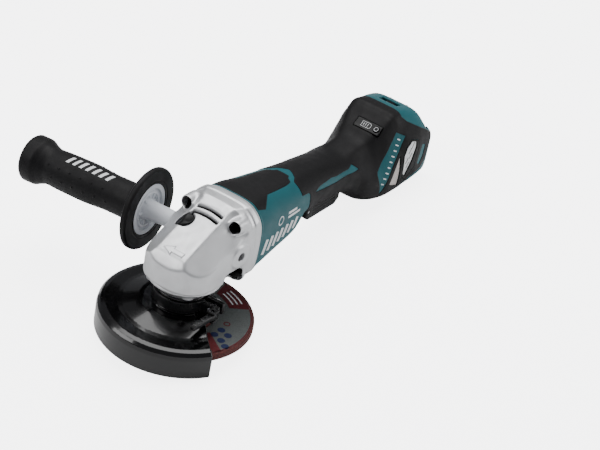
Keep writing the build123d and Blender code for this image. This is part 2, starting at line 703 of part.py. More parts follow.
def make_gauge_panel():
    """The battery gauge's plate, with the hole for its button."""
    panel = gauge_block(10, 26, 2.6, 0.5) - gauge_button_rod(2.9)
    return panel


def gauge_button_rod(radius, deep=0.0):
    """A round bar through the gauge's plate, longer at its inner end by deep."""
    place = Pos(*GAUGE_CENTRE) * Rot(0, -GAUGE_SLOPE, 0)
    return place * Pos(0, -9.0, -4.0 - deep) * extrude(Circle(radius), 5.2 + deep)


def make_check_button():
    return gauge_button_rod(2.85)


def make_paddle():
    """The switch paddle under the grip, with its pivot ears inside."""
    half_width = PADDLE_HALF
    outer = side_prism([(148, 60), (148, 46), (153, PADDLE_LOW), (194, PADDLE_LOW), (200.5, 47),
                        (200.5, 60), (197, 63.5), (192, 63.5), (189, 60)], -half_width, half_width)
    hollow = side_prism([(140, 70), (140, 40), (155.5, 40), (155.5, 46), (160, 46), (160, 57),
                         (170, 57), (170, 46), (196.5, 46), (196.5, 70)], -11.5, 11.5)
    web = block(160, 170, -11.5, 11.5, 57, 60)
    paddle = outer - hollow + web
    paddle -= rod((PADDLE_PIVOT[0], -30, PADDLE_PIVOT[1]), (0, 1, 0), PIN_RADIUS + PIN_PLAY, 60)
    paddle -= rod((LEVER_PIVOT[0], -30, LEVER_PIVOT[1]), (0, 1, 0), PIN_RADIUS, 60)
    return paddle


def make_paddle_pin():
    return rod((PADDLE_PIVOT[0], -20.8, PADDLE_PIVOT[1]), (0, 1, 0), PIN_RADIUS, 41.6)


def make_lock_off_lever():
    """The small lever at the paddle's front end."""
    x, z = LEVER_PIVOT
    lever = side_prism([(x - 2, z + 2.5), (x + 2.5, z), (x - 7.5, z - 12.5), (x - 12, z - 9.5)],
                       -6.0, 6.0)
    lever += rod((x, -10.5, z), (0, 1, 0), 2.8, 21.0)
    return lever - rod((x, -30, z), (0, 1, 0), PIN_RADIUS + PIN_PLAY, 60)


def make_lock_off_pin():
    return rod((LEVER_PIVOT[0], -16.0, LEVER_PIVOT[1]), (0, 1, 0), PIN_RADIUS, 32.0)


def make_switch():
    """The switch body, with the bore for its plunger."""
    body = block(150, 178, -9, 9, 66, 77)
    return body - rod((PLUNGER_X, 0, 60), (0, 0, 1), 2.56, 12)


def make_plunger():
    return rod((PLUNGER_X, 0, 60.4), (0, 0, 1), 2.5, 8.0)


def make_controller():
    return block(CONTROLLER_FRONT, 266, -15, 15, 65, 80.8)


def make_wires():
    """Three motor wires, as separate solids."""
    length = CONTROLLER_FRONT - WIRE_START
    return Compound([rod((WIRE_START, y, 79.5), (1, 0, 0), 1.2, length) for y in (-5, 0, 5)])


# ---------------------------------------------------------------- rear end

def make_terminal_housing():
    """The rear end that the battery slides onto."""
    housing = body_form(TERMINAL_END) - (body_form(TERMINAL_END, HEAD_WALL)
                                         & block(271, 298, -50, 50, 0, 120))
    housing -= block(RECESS_FLOOR, 330, -RECESS_HALF, RECESS_HALF, RECESS_LOW, 130)
    for side in (-1, 1):
        y0, y1 = sorted((side * (RECESS_HALF - 0.5), side * (RECESS_HALF + 3)))
        housing -= block(RECESS_FLOOR + 1, 309, y0, y1, RECESS_LOW, 130)
    housing -= block(290, 310, -21, 21, 53, 82)
    housing -= dial_slot()
    return housing


def make_terminal_block():
    return block(291, 303, -20.8, 20.8, 53.2, 81.8)


def make_terminals():
    """Two power blades and a signal blade, as separate solids."""
    blades = [block(RECESS_FLOOR, 311, y - 0.4, y + 0.4, 60, 76) for y in (-14, 14)]
    blades.append(block(RECESS_FLOOR, 309, -0.4, 0.4, 62, 70))
    return Compound(blades)


def make_speed_dial():
    """The knurled thumb wheel that sets the speed."""
    x, y, z = DIAL_CENTRE
    dial = rod((x - DIAL_WIDTH / 2, y, z), (1, 0, 0), DIAL_RADIUS, DIAL_WIDTH)
    for index in range(24):
        notch = Pos(x, y, z) * Rot(15 * index, 0, 0) * Pos(0, 0, DIAL_RADIUS)
        dial -= notch * Box(DIAL_WIDTH + 2, 1.0, 1.2)
    return dial - rod((x - 20, y, z), (1, 0, 0), 1.5 + PIN_PLAY, 40)


def make_dial_axle():
    """The dial's axle on the speed control's small board."""
    x, y, z = DIAL_CENTRE
    axle = rod((x - 7, y, z), (1, 0, 0), 1.5, 11.0)
    return axle + block(x - 9, x - 7, -8, 8, z - 10, z + 4)


# ---------------------------------------------------------------- side handle

def on_side_handle(shape):
    """Place a shape built along +Z onto the +Y boss."""
    return side_boss_plane(1) * shape


def make_side_handle_core():
    """The hard core: stem, disc and the tube under the grip."""
    core = turned([
        (SIDE_THREAD, 1.0), (7.0, 1.0), (7.6, 4.0), (8.4, 22.0), (12.0, 25.0), (22.5, 25.0),
        (22.5, 29.0), (10.0, 29.0), (10.0, 138.0), (14.5, 138.0), (14.5, 146.0), (8.0, 146.0),
        (8.0, 110.0), (SIDE_THREAD, 110.0),
    ])
    return on_side_handle(core)


def make_side_handle_stud():
    """The steel stud, screwed into the head."""
    return on_side_handle(Pos(0, 0, -SIDE_DEPTH + 1) * extrude(Circle(SIDE_THREAD), 110 + SIDE_DEPTH))


def make_side_handle_flange():
    """The soft hand guard around the core's disc."""
    return on_side_handle(turned([(22.5, 24.0), (35.0, 24.0), (36.0, 25.5), (36.0, 29.0),
                                  (34.0, 30.5), (24.0, 30.5), (22.5, 29.0)]))


def make_side_handle_grip():
    """The soft grip, thicker in the middle and flared at its end."""
    return on_side_handle(turned([
        (10.0, 30.8), (17.5, 30.8), (15.5, 40.0), (15.5, 60.0), (17.0, 85.0), (16.5, 110.0),
        (16.0, 122.0), (20.8, 132.0), (20.8, 142.0), (18.5, 145.5), (14.5, 145.5), (14.5, 138.0),
        (10.0, 138.0),
    ]))


def make_all():
    """Every node of the grinder, by name."""
    return {
        "grinding_wheel": make_wheel(),
        "wheel_ring": make_wheel_ring(),
        "wheel_label": make_wheel_label(),
        "lock_nut": make_lock_nut(),
        "inner_flange": make_inner_flange(),
        "spindle": make_spindle(),
        "bevel_gear": make_bevel_gear(),
        "pinion": make_pinion(),
        "guard": make_guard(),
        "clamp_band": make_clamp_band(),
        "clamp_screw": make_clamp_screw(),
        "guard_lever": make_guard_lever(),
        "guard_lever_pin": make_lever_pin(),
        "gear_housing": make_gear_housing(),
        "gear_housing_screws": make_gear_housing_screws(),
        "bearing_box": make_bearing_box(),
        "bearing_box_screws": make_bearing_box_screws(),
        "spindle_bearing": make_spindle_bearing(),
        "needle_bearing": make_needle_bearing(),
        "bearing_retainer": make_bearing_retainer(),
        "lock_button": make_lock_button(),
        "lock_pin": make_lock_pin(),
        "front_motor_bearing": make_motor_bearing(FRONT_BEARING),
        "rear_motor_bearing": make_motor_bearing(REAR_BEARING),
        "rotor_shaft": make_rotor_shaft(),
        "rotor_core": make_rotor_core(),
        "rotor_magnets": make_rotor_magnets(),
        "fan": make_fan(),
        "stator_core": make_stator_core(),
        "stator_coils": make_stator_coils(),
        "motor_housing": make_motor_housing(),
        "nameplate": nameplate_block(),
        "handle_shell_left": make_handle_shell(-1),
        "handle_shell_right": make_handle_shell(1),
        "handle_skin_left": make_handle_skin(-1),
        "handle_skin_right": make_handle_skin(1),
        "handle_screws": make_handle_screws(),
        "dust_filter_left": make_dust_filter(-1),
        "dust_filter_right": make_dust_filter(1),
        "gauge_panel": make_gauge_panel(),
        "check_button": make_check_button(),
        "paddle": make_paddle(),
        "paddle_pin": make_paddle_pin(),
        "lock_off_lever": make_lock_off_lever(),
        "lock_off_pin": make_lock_off_pin(),
        "switch": make_switch(),
        "switch_plunger": make_plunger(),
        "controller": make_controller(),
        "motor_wires": make_wires(),
        "terminal_housing": make_terminal_housing(),
        "terminal_block": make_terminal_block(),
        "battery_terminals": make_terminals(),
        "speed_dial": make_speed_dial(),
        "dial_axle": make_dial_axle(),
        "side_handle_core": make_side_handle_core(),
        "side_handle_stud": make_side_handle_stud(),
        "side_handle_flange": make_side_handle_flange(),
        "side_handle_grip": make_side_handle_grip(),
    }


os.makedirs("parts", exist_ok=True)
for node_name, shape in make_all().items():
    export_step(shape, f"parts/{node_name}.step")
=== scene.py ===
"""Blender scene for the cordless angle grinder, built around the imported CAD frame.

Shapes are described in millimetres, as distance fields: a field is negative inside the solid,
positive outside and zero on its surface.  A field becomes a mesh in metres, in the CAD's frame:
+Z up the spindle, +X back to the battery end, +Y to the side handle.
"""
import bmesh
import bpy
import json
import math
import numpy as np
from mathutils import Matrix, Vector


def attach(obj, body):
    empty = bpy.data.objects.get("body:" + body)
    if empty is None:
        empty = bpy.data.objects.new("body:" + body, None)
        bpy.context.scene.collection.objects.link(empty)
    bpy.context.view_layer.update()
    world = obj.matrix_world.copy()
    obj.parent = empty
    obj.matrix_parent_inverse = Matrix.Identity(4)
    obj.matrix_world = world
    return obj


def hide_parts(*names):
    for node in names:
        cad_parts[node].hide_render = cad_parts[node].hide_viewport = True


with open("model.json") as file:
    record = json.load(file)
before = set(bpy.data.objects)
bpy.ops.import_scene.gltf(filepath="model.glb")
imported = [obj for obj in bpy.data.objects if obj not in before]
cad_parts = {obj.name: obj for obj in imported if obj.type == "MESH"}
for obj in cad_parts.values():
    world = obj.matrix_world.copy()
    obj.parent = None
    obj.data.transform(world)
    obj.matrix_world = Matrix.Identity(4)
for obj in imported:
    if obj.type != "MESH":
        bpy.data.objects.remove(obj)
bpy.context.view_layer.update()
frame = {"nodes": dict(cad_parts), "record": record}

MM = 0.001

# Body cross-sections: x, lowest z, highest z, half width, half width of the flat top,
# z of the shoulder, half width of the flat bottom, z of the lower chine
BODY = [
    (51, 37.5, 102.5, 33, 21, 90, 28, 44),
    (62, 39, 102, 32.5, 20, 90, 26, 46),
    (90, 40, 98.5, 30, 18, 87, 23, 50),
    (117, 42, 95.5, 27.5, 15, 85, 20, 53),
    (134, 55, 94, 25, 13, 84, 17, 62),
    (150, 55, 92.5, 23.5, 12, 83, 15, 62),
    (185, 52, 88, 23, 12, 79, 15, 59),
    (203, 50, 86, 24.5, 13, 77, 16, 57),
    (213, 44, 87, 27, 13, 70, 20, 53),
    (222, 38, 88.5, 32, 13, 60, 24, 48),
    (231, 35.3, 90.5, 34.5, 14.5, 56, 27, 45),
    (240, 33.5, 96.5, 36, 17.5, 55, 29, 43),
    (251, 32.4, 104.2, 38, 21.5, 58, 30, 41.5),
    (257, 32.1, 108.6, 38, 22.3, 64, 30, 41),
    (262, 32, 111.2, 38, 22.5, 70, 30, 41),
    (272, 32, 110.5, 38, 21, 84, 30, 41),
    (290, 33, 107, 38, 22, 89, 31, 41),
    (300, 33.5, 104, 37.5, 22, 88, 31, 41),
    (314, 35, 88, 36.5, 24, 84, 31, 41),
]
BODY_ROUNDING = 2.6
BODY_AXIS_Z = 75.0
GIRTH_RADIUS = 27.0             # turns an angle round the body into a distance
CASE_INSET = 0.5                # the hard case lies this far under the soft overmould
CASE_WALL = 3.0
SKIN_DEPTH = 2.0                # how far the overmould is let into the case

# Gear head
HEAD_RADIUS = 31.5
PLATEAU_LOW = (-25.0, 76.0)     # front edge of the sloping top, as x and z
PLATEAU_HIGH = (24.0, 99.0)
PLATEAU_RISE = (PLATEAU_HIGH[1] - PLATEAU_LOW[1]) / (PLATEAU_HIGH[0] - PLATEAU_LOW[0])
PLATEAU_HALF = 14.0
RIM_FRONT = 34.0
RIM_BACK = 51.0
TOP_SCREW = (24.5, 93.0)        # y and z of the two upper case screws
LOW_SCREW = (27.0, 46.0)
CASE_SCREW_TOP = RIM_FRONT - 3.2
LOCK_BUTTON = (7.0, 12.5)
BUTTON_RADIUS = 6.9
CASE_BOSS_RADIUS = 6.2
CASE_POCKET_RADIUS = 4.9
BUTTON_WELL_RADIUS = 7.4
SLOT_MIDDLES = (15.6, 21.4)     # x of the two cooling slots
SLOT_HALF_LENGTH = 12.5
SLOT_HALF_WIDTH = 1.35
SLOT_BOW = 1.6
BOWL_WALL = 3.2
RIM_WALL = 3.4
SIDE_HOLE_RADIUS = 3.6
SIDE_BOSS_RADIUS = 9.0
SIDE_HOLE = (25.0, 34.5, 69.5)
SIDE_LEAN = (-0.08, 1.0, -0.03)

# Guard
GUARD_OPENING = -27.0           # direction of the open side, in degrees
GUARD_SHEET = 1.8
COLLAR_MIDDLE = 20.83

CLAMP_ANGLE = -85.0             # direction of the clamp's ears, in degrees
CLAMP_LOW, CLAMP_HIGH = 24, 34
CLAMP_SCREW = (30.5, 29)        # distance out from the spindle's axis, and z
LEVER_PIN = (36.5, -10.5)       # distance out, and across

# Wheel
LABEL_TOP = 11.3
LABEL_RADII = (30.2, 60.4)
NUT_RADIUS = 20.5
NUT_HOLE_PLACE = 15             # the lock nut's key holes, from the spindle's axis
SPOT_PLACES = [(4.4, -40.8), (-4.6, -40.6), (2.4, -49.0), (-7.0, -49.2), (-11.0, -56.2)]
BOX_SCREW_RADIUS = 25.5         # the four screws under the bearing box, from the spindle's axis

# Rear end and paddle
DIAL_CENTRE = (287.0, 0.0, 96.5)
GAUGE_CENTRE = (244.0, -5.9, 99.4)
GAUGE_SLOPE = math.atan2(12.0, 18.0)
PADDLE_HALF = 16.5
PADDLE_CLEARANCE = 0.9
PIN_HOLE_RADIUS = 1.56
PADDLE_PIVOT = (196.0, 60.0)
LEVER_PIVOT = (152.0, 51.0)

# Steps between the samples a mesh is made from
FINE = 0.55
MEDIUM = 0.75
QUICK_FACTOR = 1.0
ROUGH_STRIDE = 4                # the first, rough look at a field skips this many samples
NEAR_BAND = 2.2                 # rough steps either side of the surface that are worked out exactly
SETTLE_PASSES = 3               # times that a mesh's points are moved onto the surface
LEAST_STEEPNESS = 0.2
CAST_REACH = 60.0               # how far a ray from inside the body is followed
CAST_HALVINGS = 30


# ---------------------------------------------------------------- distance fields

def soft_max(fields, radius):
    """The overlap of several solids, with the edges between them rounded."""
    top = fields[0]
    for field in fields[1:]:
        top = np.maximum(top, field)
    total = sum(np.exp((field - top) / radius) for field in fields)
    return top + radius * np.log(total)


def soft_min(fields, radius):
    """The union of several solids, with the corners between them filled."""
    return -soft_max([-field for field in fields], radius)


def cut(solid, tool, radius=0.25):
    """A solid with another taken out of it."""
    return soft_max([solid, -tool], radius)


def plane_field(x, y, z, point, normal):
    """Distance past a plane along its normal."""
    length = math.sqrt(sum(part * part for part in normal))
    a, b, c = (part / length for part in normal)
    return (x - point[0]) * a + (y - point[1]) * b + (z - point[2]) * c


def box_field(x, y, z, low, high, radius=0.4):
    """A box between two corners, with rounded edges."""
    spans = []
    for value, start, end in zip((x, y, z), low, high):
        spans.append(np.abs(value - (start + end) / 2) - (end - start) / 2 + radius)
    outside = np.sqrt(sum(np.maximum(span, 0) ** 2 for span in spans))
    inside = np.minimum(np.maximum(np.maximum(spans[0], spans[1]), spans[2]), 0)
    return outside + inside - radius


def rod_field(x, y, z, start, direction, radius, length, edge=0.3):
    """A round bar from a point along a direction."""
    size = math.sqrt(sum(part * part for part in direction))
    unit = [part / size for part in direction]
    along = sum((value - first) * part for value, first, part in zip((x, y, z), start, unit))
    across = np.sqrt(np.maximum(sum((value - first) ** 2 for value, first in zip((x, y, z), start))
                                - along ** 2, 0))
    return soft_max([across - radius, -along, along - length], edge)


def outline_field(u, v, corners):
    """Distance to a closed outline in a plane, negative inside it."""
    distance = np.full(np.shape(u), 1e6)
    inside = np.zeros(np.shape(u), bool)
    for (u0, v0), (u1, v1) in zip(corners, corners[1:] + corners[:1]):
        du, dv = u1 - u0, v1 - v0
        along = np.clip(((u - u0) * du + (v - v0) * dv) / (du * du + dv * dv), 0, 1)
        distance = np.minimum(distance, np.hypot(u - u0 - along * du, v - v0 - along * dv))
        if dv:
            crosses = (v0 > v) != (v1 > v)
            inside ^= crosses & (u < u0 + (v - v0) * du / dv)
    return np.where(inside, -distance, distance)


def eased_outline(u, v, corners, radius):
    """Distance to an outline whose corners are eased by a radius."""
    offsets = ((radius, 0), (-radius, 0), (0, radius), (0, -radius))
    return sum(outline_field(u + du, v + dv, corners) for du, dv in offsets) / len(offsets)


def path_distance(u, v, points):
    """Distance to an open line of straight runs in a plane."""
    distance = np.full(np.shape(u), 1e6)
    for (u0, v0), (u1, v1) in zip(points, points[1:]):
        du, dv = u1 - u0, v1 - v0
        along = np.clip(((u - u0) * du + (v - v0) * dv) / (du * du + dv * dv), 0, 1)
        distance = np.minimum(distance, np.hypot(u - u0 - along * du, v - v0 - along * dv))
    return distance


def smooth_between(x, knots, values):
    """A smooth curve through values at knots that never overshoots them."""
    knots = np.asarray(knots, float)
    values = np.asarray(values, float)
    gaps = np.diff(knots)
    slopes = np.diff(values) / gaps
    tangents = np.zeros(len(knots))
    tangents[0], tangents[-1] = slopes[0], slopes[-1]
    product = slopes[:-1] * slopes[1:]
    total = slopes[:-1] + slopes[1:]
    safe = np.where(product > 0, total, 1.0)
    tangents[1:-1] = np.where(product > 0, 2 * product / safe, 0)
    index = np.clip(np.searchsorted(knots, x) - 1, 0, len(gaps) - 1)
    gap = gaps[index]
    t = np.clip((x - knots[index]) / gap, 0, 1)
    rise = t * t * (3 - 2 * t)
    first = t * (1 - t) ** 2 * gap * tangents[index]
    last = -t * t * (1 - t) * gap * tangents[index + 1]
    return values[index] * (1 - rise) + values[index + 1] * rise + first + last


def body_field(x, y, z, rounding=BODY_ROUNDING):
    """The body's outer form, from the back of the gear head to the battery end."""
    knots = [section[0] for section in BODY]
    low, high, half, top_half, shoulder, bottom_half, chine = (
        smooth_between(x, knots, [section[column] for section in BODY]) for column in range(1, 8))
    side = np.sqrt(y * y + 0.01)
    roof_run, roof_drop = half - top_half, high - shoulder
    roof_length = np.hypot(roof_run, roof_drop)
    roof = ((side - half) * roof_drop + (z - shoulder) * roof_run) / roof_length
    belly_run, belly_drop = half - bottom_half, chine - low
    belly_length = np.hypot(belly_run, belly_drop)
    belly = ((side - half) * belly_drop - (z - chine) * belly_run) / belly_length
    return soft_max([z - high, low - z, side - half, roof, belly], rounding)


def screw_field(a, b, depth, radius, head, shank, length):
    """A pan-head screw with a cross recess; depth runs from the head's top into the hole."""
    across = np.hypot(a, b)
    cap = soft_max([across - radius, -depth, depth - head, across + 0.55 * (0.9 - depth) - radius], 0.25)
    thread = soft_max([across - shank, head - 1 - depth, depth - length], 0.2)
    recess = np.minimum(np.maximum(np.abs(a) - 0.6, np.abs(b) - 0.55 * radius),
                        np.maximum(np.abs(b) - 0.6, np.abs(a) - 0.55 * radius))
    return cut(np.minimum(cap, thread), soft_max([recess, depth - 0.55 * head], 0.15), 0.15)


def girth(y, z):
    """How far round the body a point lies from the middle of its top, in millimetres."""
    return GIRTH_RADIUS * np.arctan2(np.abs(y), z - BODY_AXIS_Z)


# ---------------------------------------------------------------- meshes from fields

def sample_field(field, axes):
    """The field on a grid of points, worked out exactly only near the surface."""
    stride = ROUGH_STRIDE
    step = axes[0][1] - axes[0][0]
    shape = tuple(len(axis) for axis in axes)
    rough_axes = [axis[::stride] for axis in axes]
    rough = field(*[part.ravel() for part in np.meshgrid(*rough_axes, indexing="ij")])
    rough = rough.reshape([len(axis) for axis in rough_axes])
    nearest = [np.minimum((np.arange(count) + stride // 2) // stride, size - 1)
               for count, size in zip(shape, rough.shape)]
    values = rough[np.ix_(*nearest)]
    near = np.abs(values) < NEAR_BAND * stride * step
    i, j, k = np.nonzero(near)
    values[near] = field(axes[0][i], axes[1][j], axes[2][k])
    return values


def field_slope(field, points, reach=0.05):
    """The field's gradient at some points."""
    columns = []
    for axis in range(3):
        ahead, behind = points.copy(), points.copy()
        ahead[:, axis] += reach
        behind[:, axis] -= reach
        columns.append((field(*ahead.T) - field(*behind.T)) / (2 * reach))
    return np.stack(columns, axis=1)


def crossing_points(values, axes, cells):
    """One point for each cell that the surface passes through, amid its edges' crossings."""
    corners = [(a, b, c) for a in (0, 1) for b in (0, 1) for c in (0, 1)]
    i, j, k = cells
    at_corner = {corner: values[i + corner[0], j + corner[1], k + corner[2]] for corner in corners}
    total = np.zeros((len(i), 3))
    count = np.zeros(len(i))
    for start in corners:
        for axis in range(3):
            if start[axis]:
                continue
            end = tuple(1 if place == axis else value for place, value in enumerate(start))
            first, second = at_corner[start], at_corner[end]
            crosses = (first < 0) != (second < 0)
            along = np.where(crosses, first / np.where(crosses, first - second, 1), 0)
            for place in range(3):
                part = along if place == axis else float(start[place])
                total[:, place] += np.where(crosses, part, 0)
            count += crosses
    step = axes[0][1] - axes[0][0]
    origin = np.array([axis[0] for axis in axes])
    return origin + step * (np.stack(cells, axis=1) + total / count[:, None])


def surface_faces(inside, numbers):
    """Quads between the cells' points, one for each grid edge that the surface crosses."""
    faces = []
    for axis in range(3):
        u, v = (axis + 1) % 3, (axis + 2) % 3
        order = (axis, u, v)
        turned_inside = inside.transpose(order)
        turned_numbers = numbers.transpose(order)
        here, there = turned_inside[:-1, 1:-1, 1:-1], turned_inside[1:, 1:-1, 1:-1]
        a, b, c = np.nonzero(here != there)
        leaving = here[a, b, c]
        ring = np.stack([turned_numbers[a, b, c], turned_numbers[a, b + 1, c],
                         turned_numbers[a, b + 1, c + 1], turned_numbers[a, b, c + 1]], axis=1)
        faces.append(np.where(leaving[:, None], ring, ring[:, ::-1]))
    return np.concatenate(faces)


def surface_mesh(name, field, low, high, step):
    """The closed mesh of a field's surface between two corners, all in millimetres."""
    step = step * QUICK_FACTOR
    axes = [np.arange(start - 3 * step, end + 4 * step, step) for start, end in zip(low, high)]
    values = sample_field(field, axes)
    inside = values < 0
    filled = sum(inside[a:a + inside.shape[0] - 1, b:b + inside.shape[1] - 1,
                        c:c + inside.shape[2] - 1].astype(np.int8)
                 for a in (0, 1) for b in (0, 1) for c in (0, 1))
    cells = np.nonzero((filled > 0) & (filled < 8))
    points = crossing_points(values, axes, cells)
    numbers = np.zeros(filled.shape, int)
    numbers[cells] = np.arange(len(points))
    faces = surface_faces(inside, numbers)
    for _ in range(SETTLE_PASSES):
        slope = field_slope(field, points)
        steepness = np.maximum((slope ** 2).sum(axis=1), LEAST_STEEPNESS)
        shift = np.clip(field(*points.T) / steepness, -0.5 * step, 0.5 * step)
        points = points - slope * shift[:, None]
    normals = field_slope(field, points)
    normals /= np.maximum(np.linalg.norm(normals, axis=1), 1e-6)[:, None]
    mesh = bpy.data.meshes.new(name)
    mesh.from_pydata(points * MM, [], faces)
    mesh.polygons.foreach_set("use_smooth", [True] * len(mesh.polygons))
    mesh.normals_split_custom_set_from_vertices(normals)
    return mesh


def add_piece(name, mesh, material, body, stands_for=()):
    """Put a mesh in the scene, riding on a CAD body and finished in a material."""
    piece = bpy.data.objects.new(name, mesh)
    bpy.context.scene.collection.objects.link(piece)
    mesh.materials.append(material)
    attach(piece, body)
    if stands_for:
        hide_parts(*stands_for)
    return piece


def field_piece(name, field, low, high, step, slot, body="housing", stands_for=(), finish=None):
    """A piece whose mesh comes from a field; its finish is the slot's unless one is given."""
    mesh = surface_mesh(name, field, low, high, step)
    return add_piece(name, mesh, finish or MATERIALS[slot], body, stands_for)


def ribbon_faces(count, first):
    """The faces of one closed strip whose points start at a number."""
    top_left, top_right, low_left, low_right = (first + count * row for row in range(4))
    faces = []
    for i in range(count - 1):
        j = i + 1
        faces.append((top_left + i, top_right + i, top_right + j, top_left + j))
        faces.append((low_left + i, low_left + j, low_right + j, low_right + i))
        faces.append((top_left + i, top_left + j, low_left + j, low_left + i))
        faces.append((top_right + i, low_right + i, low_right + j, top_right + j))
    last = count - 1
    faces.append((top_left, low_left, low_right, top_right))
    faces.append((top_left + last, top_right + last, low_right + last, low_left + last))
    return faces


def print_strips(name, strips, place, material, body="housing", lift=0.12, depth=0.3):
    """Thin raised print on a surface: each strip lies between two rows of (u, v) points."""
    points, faces = [], []
    for left, right in strips:
        faces += ribbon_faces(len(left), len(points))
        for height in (lift, -depth):
            for row in (left, right):
                u, v = np.array(row, float).T
                points += [tuple(point) for point in place(u, v, height) * MM]
    mesh = bpy.data.meshes.new(name)
    mesh.from_pydata(points, [], faces)
    shape = bmesh.new()
    shape.from_mesh(mesh)
    bmesh.ops.recalc_face_normals(shape, faces=shape.faces)
    shape.to_mesh(mesh)
    shape.free()
    return add_piece(name, mesh, material, body)


def bar(start, end, width, cuts=8, slant=0.0):
    """A straight strip between two points, its ends slanted if wanted."""
    start, end = np.array(start, float), np.array(end, float)
    along = (end - start) / np.linalg.norm(end - start)
    across = np.array([-along[1], along[0]]) * width / 2
    skew = along * slant / 2
    steps = np.linspace(0, 1, cuts)[:, None]
    middle = start + (end - start) * steps
    return middle + across + skew, middle - across - skew


def disc(centre, radius, cuts=15):
    """A round spot."""
    turn = np.linspace(0.03, math.pi - 0.03, cuts)
    u = centre[0] + radius * np.cos(turn)
    reach = radius * np.sin(turn)
    return np.stack([u, centre[1] + reach], axis=1), np.stack([u, centre[1] - reach], axis=1)


def hoop(centre, radius, width, cuts=28):
    """A thin ring."""
    turn = np.linspace(0, 2 * math.pi - 0.02, cuts)
    spokes = np.stack([np.cos(turn), np.sin(turn)], axis=1)
    return centre + spokes * (radius + width / 2), centre + spokes * (radius - width / 2)


def outline_bars(corners, width, cuts=4):
    """Strips along the sides of a closed outline."""
    return [bar(start, end, width, cuts) for start, end in zip(corners, corners[1:] + corners[:1])]


def cast(start, direction, level):
    """Where rays from inside the body reach a level of its field."""
    low, high = np.zeros(len(start)), np.full(len(start), CAST_REACH)
    for _ in range(CAST_HALVINGS):
        middle = (low + high) / 2
        inside = body_field(*(start + direction * middle[:, None]).T) < level
        low = np.where(inside, middle, low)
        high = np.where(inside, high, middle)
    return start + direction * low[:, None]


def on_body_side(side, level):
    """A place for (x, z) points on one side of the body, at a level of its field."""
    def place(x, z, height):
        start = np.stack([x, np.zeros_like(x), z], axis=1)
        return cast(start, np.array([0.0, side, 0.0]), level + height)
    return place


def on_gauge(level):
    """A place for points on the sloping face in front of the hump."""
    def place(along, across, height):
        c, s = math.cos(GAUGE_SLOPE), math.sin(GAUGE_SLOPE)
        up = level + height
        return np.stack([GAUGE_CENTRE[0] + along * c - up * s, GAUGE_CENTRE[1] + across,
                         GAUGE_CENTRE[2] + along * s + up * c], axis=1)
    return place


def on_label(x, y, height):
    """A place for points on the wheel's label."""
    return np.stack([x, y, np.full_like(x, LABEL_TOP + height)], axis=1)


# ---------------------------------------------------------------- materials

class Shader:
    """A new node material with a principled shader, and helpers that add to it."""

    def __init__(self, name, color, roughness, metallic=0.0, coat=0.0, specular=0.3):
        self.material = bpy.data.materials.new(name)
        self.material.use_nodes = True
        self.nodes = self.material.node_tree.nodes
        self.links = self.material.node_tree.links
        self.surface = self.nodes["Principled BSDF"]
        self.surface.inputs["Base Color"].default_value = (*color, 1)
        self.surface.inputs["Roughness"].default_value = roughness
        self.surface.inputs["Metallic"].default_value = metallic
        self.surface.inputs["Coat Weight"].default_value = coat
        self.surface.inputs["Coat Roughness"].default_value = 0.12
        self.surface.inputs["Specular IOR Level"].default_value = specular
        self.place = self.nodes.new("ShaderNodeTexCoord").outputs["Object"]
        self.normal = None

    def stretched(self, scale):
        """The place on the object, stretched along its axes."""
        node = self.nodes.new("ShaderNodeMapping")
        node.inputs["Scale"].default_value = scale
        self.links.new(self.place, node.inputs["Vector"])
        return node.outputs["Vector"]

    def noise(self, size, detail=3.0, scale=(1, 1, 1)):
        """Noise with features of a size in millimetres."""
        node = self.nodes.new("ShaderNodeTexNoise")
        node.inputs["Scale"].default_value = 1 / (size * MM)
        node.inputs["Detail"].default_value = detail
        self.links.new(self.stretched(scale), node.inputs["Vector"])
        return node.outputs["Fac"]

    def cells(self, size, scale=(1, 1, 1)):
        """Rounded cells of a size in millimetres, as a distance from their middles."""
        node = self.nodes.new("ShaderNodeTexVoronoi")
        node.inputs["Scale"].default_value = 1 / (size * MM)
        self.links.new(self.stretched(scale), node.inputs["Vector"])
        return node.outputs["Distance"]

    def mapped(self, value, low, high, new_low, new_high):
        """A value moved from one range to another."""
        node = self.nodes.new("ShaderNodeMapRange")
        node.inputs["From Min"].default_value = low
        node.inputs["From Max"].default_value = high
        node.inputs["To Min"].default_value = new_low
        node.inputs["To Max"].default_value = new_high
        self.links.new(value, node.inputs["Value"])
        return node.outputs["Result"]

    def colors(self, value, low, low_color, high, high_color):
        """Blend between two colours as a value goes from low to high."""
        node = self.nodes.new("ShaderNodeValToRGB")
        first, last = node.color_ramp.elements
        first.position, first.color = low, (*low_color, 1)
        last.position, last.color = high, (*high_color, 1)
        self.links.new(value, node.inputs["Fac"])
        return node.outputs["Color"]

    def paint(self, color):
        self.links.new(color, self.surface.inputs["Base Color"])

    def dull(self, value):
        self.links.new(value, self.surface.inputs["Roughness"])

    def raise_by(self, height, depth, strength=1.0):
        """Add relief of a depth in millimetres."""
        node = self.nodes.new("ShaderNodeBump")
        node.inputs["Distance"].default_value = depth * MM
        node.inputs["Strength"].default_value = strength
        self.links.new(height, node.inputs["Height"])
        if self.normal:
            self.links.new(self.normal, node.inputs["Normal"])
        self.normal = node.outputs["Normal"]
        self.links.new(self.normal, self.surface.inputs["Normal"])


def shaded(color, factor):
    return tuple(min(1.0, part * factor) for part in color)


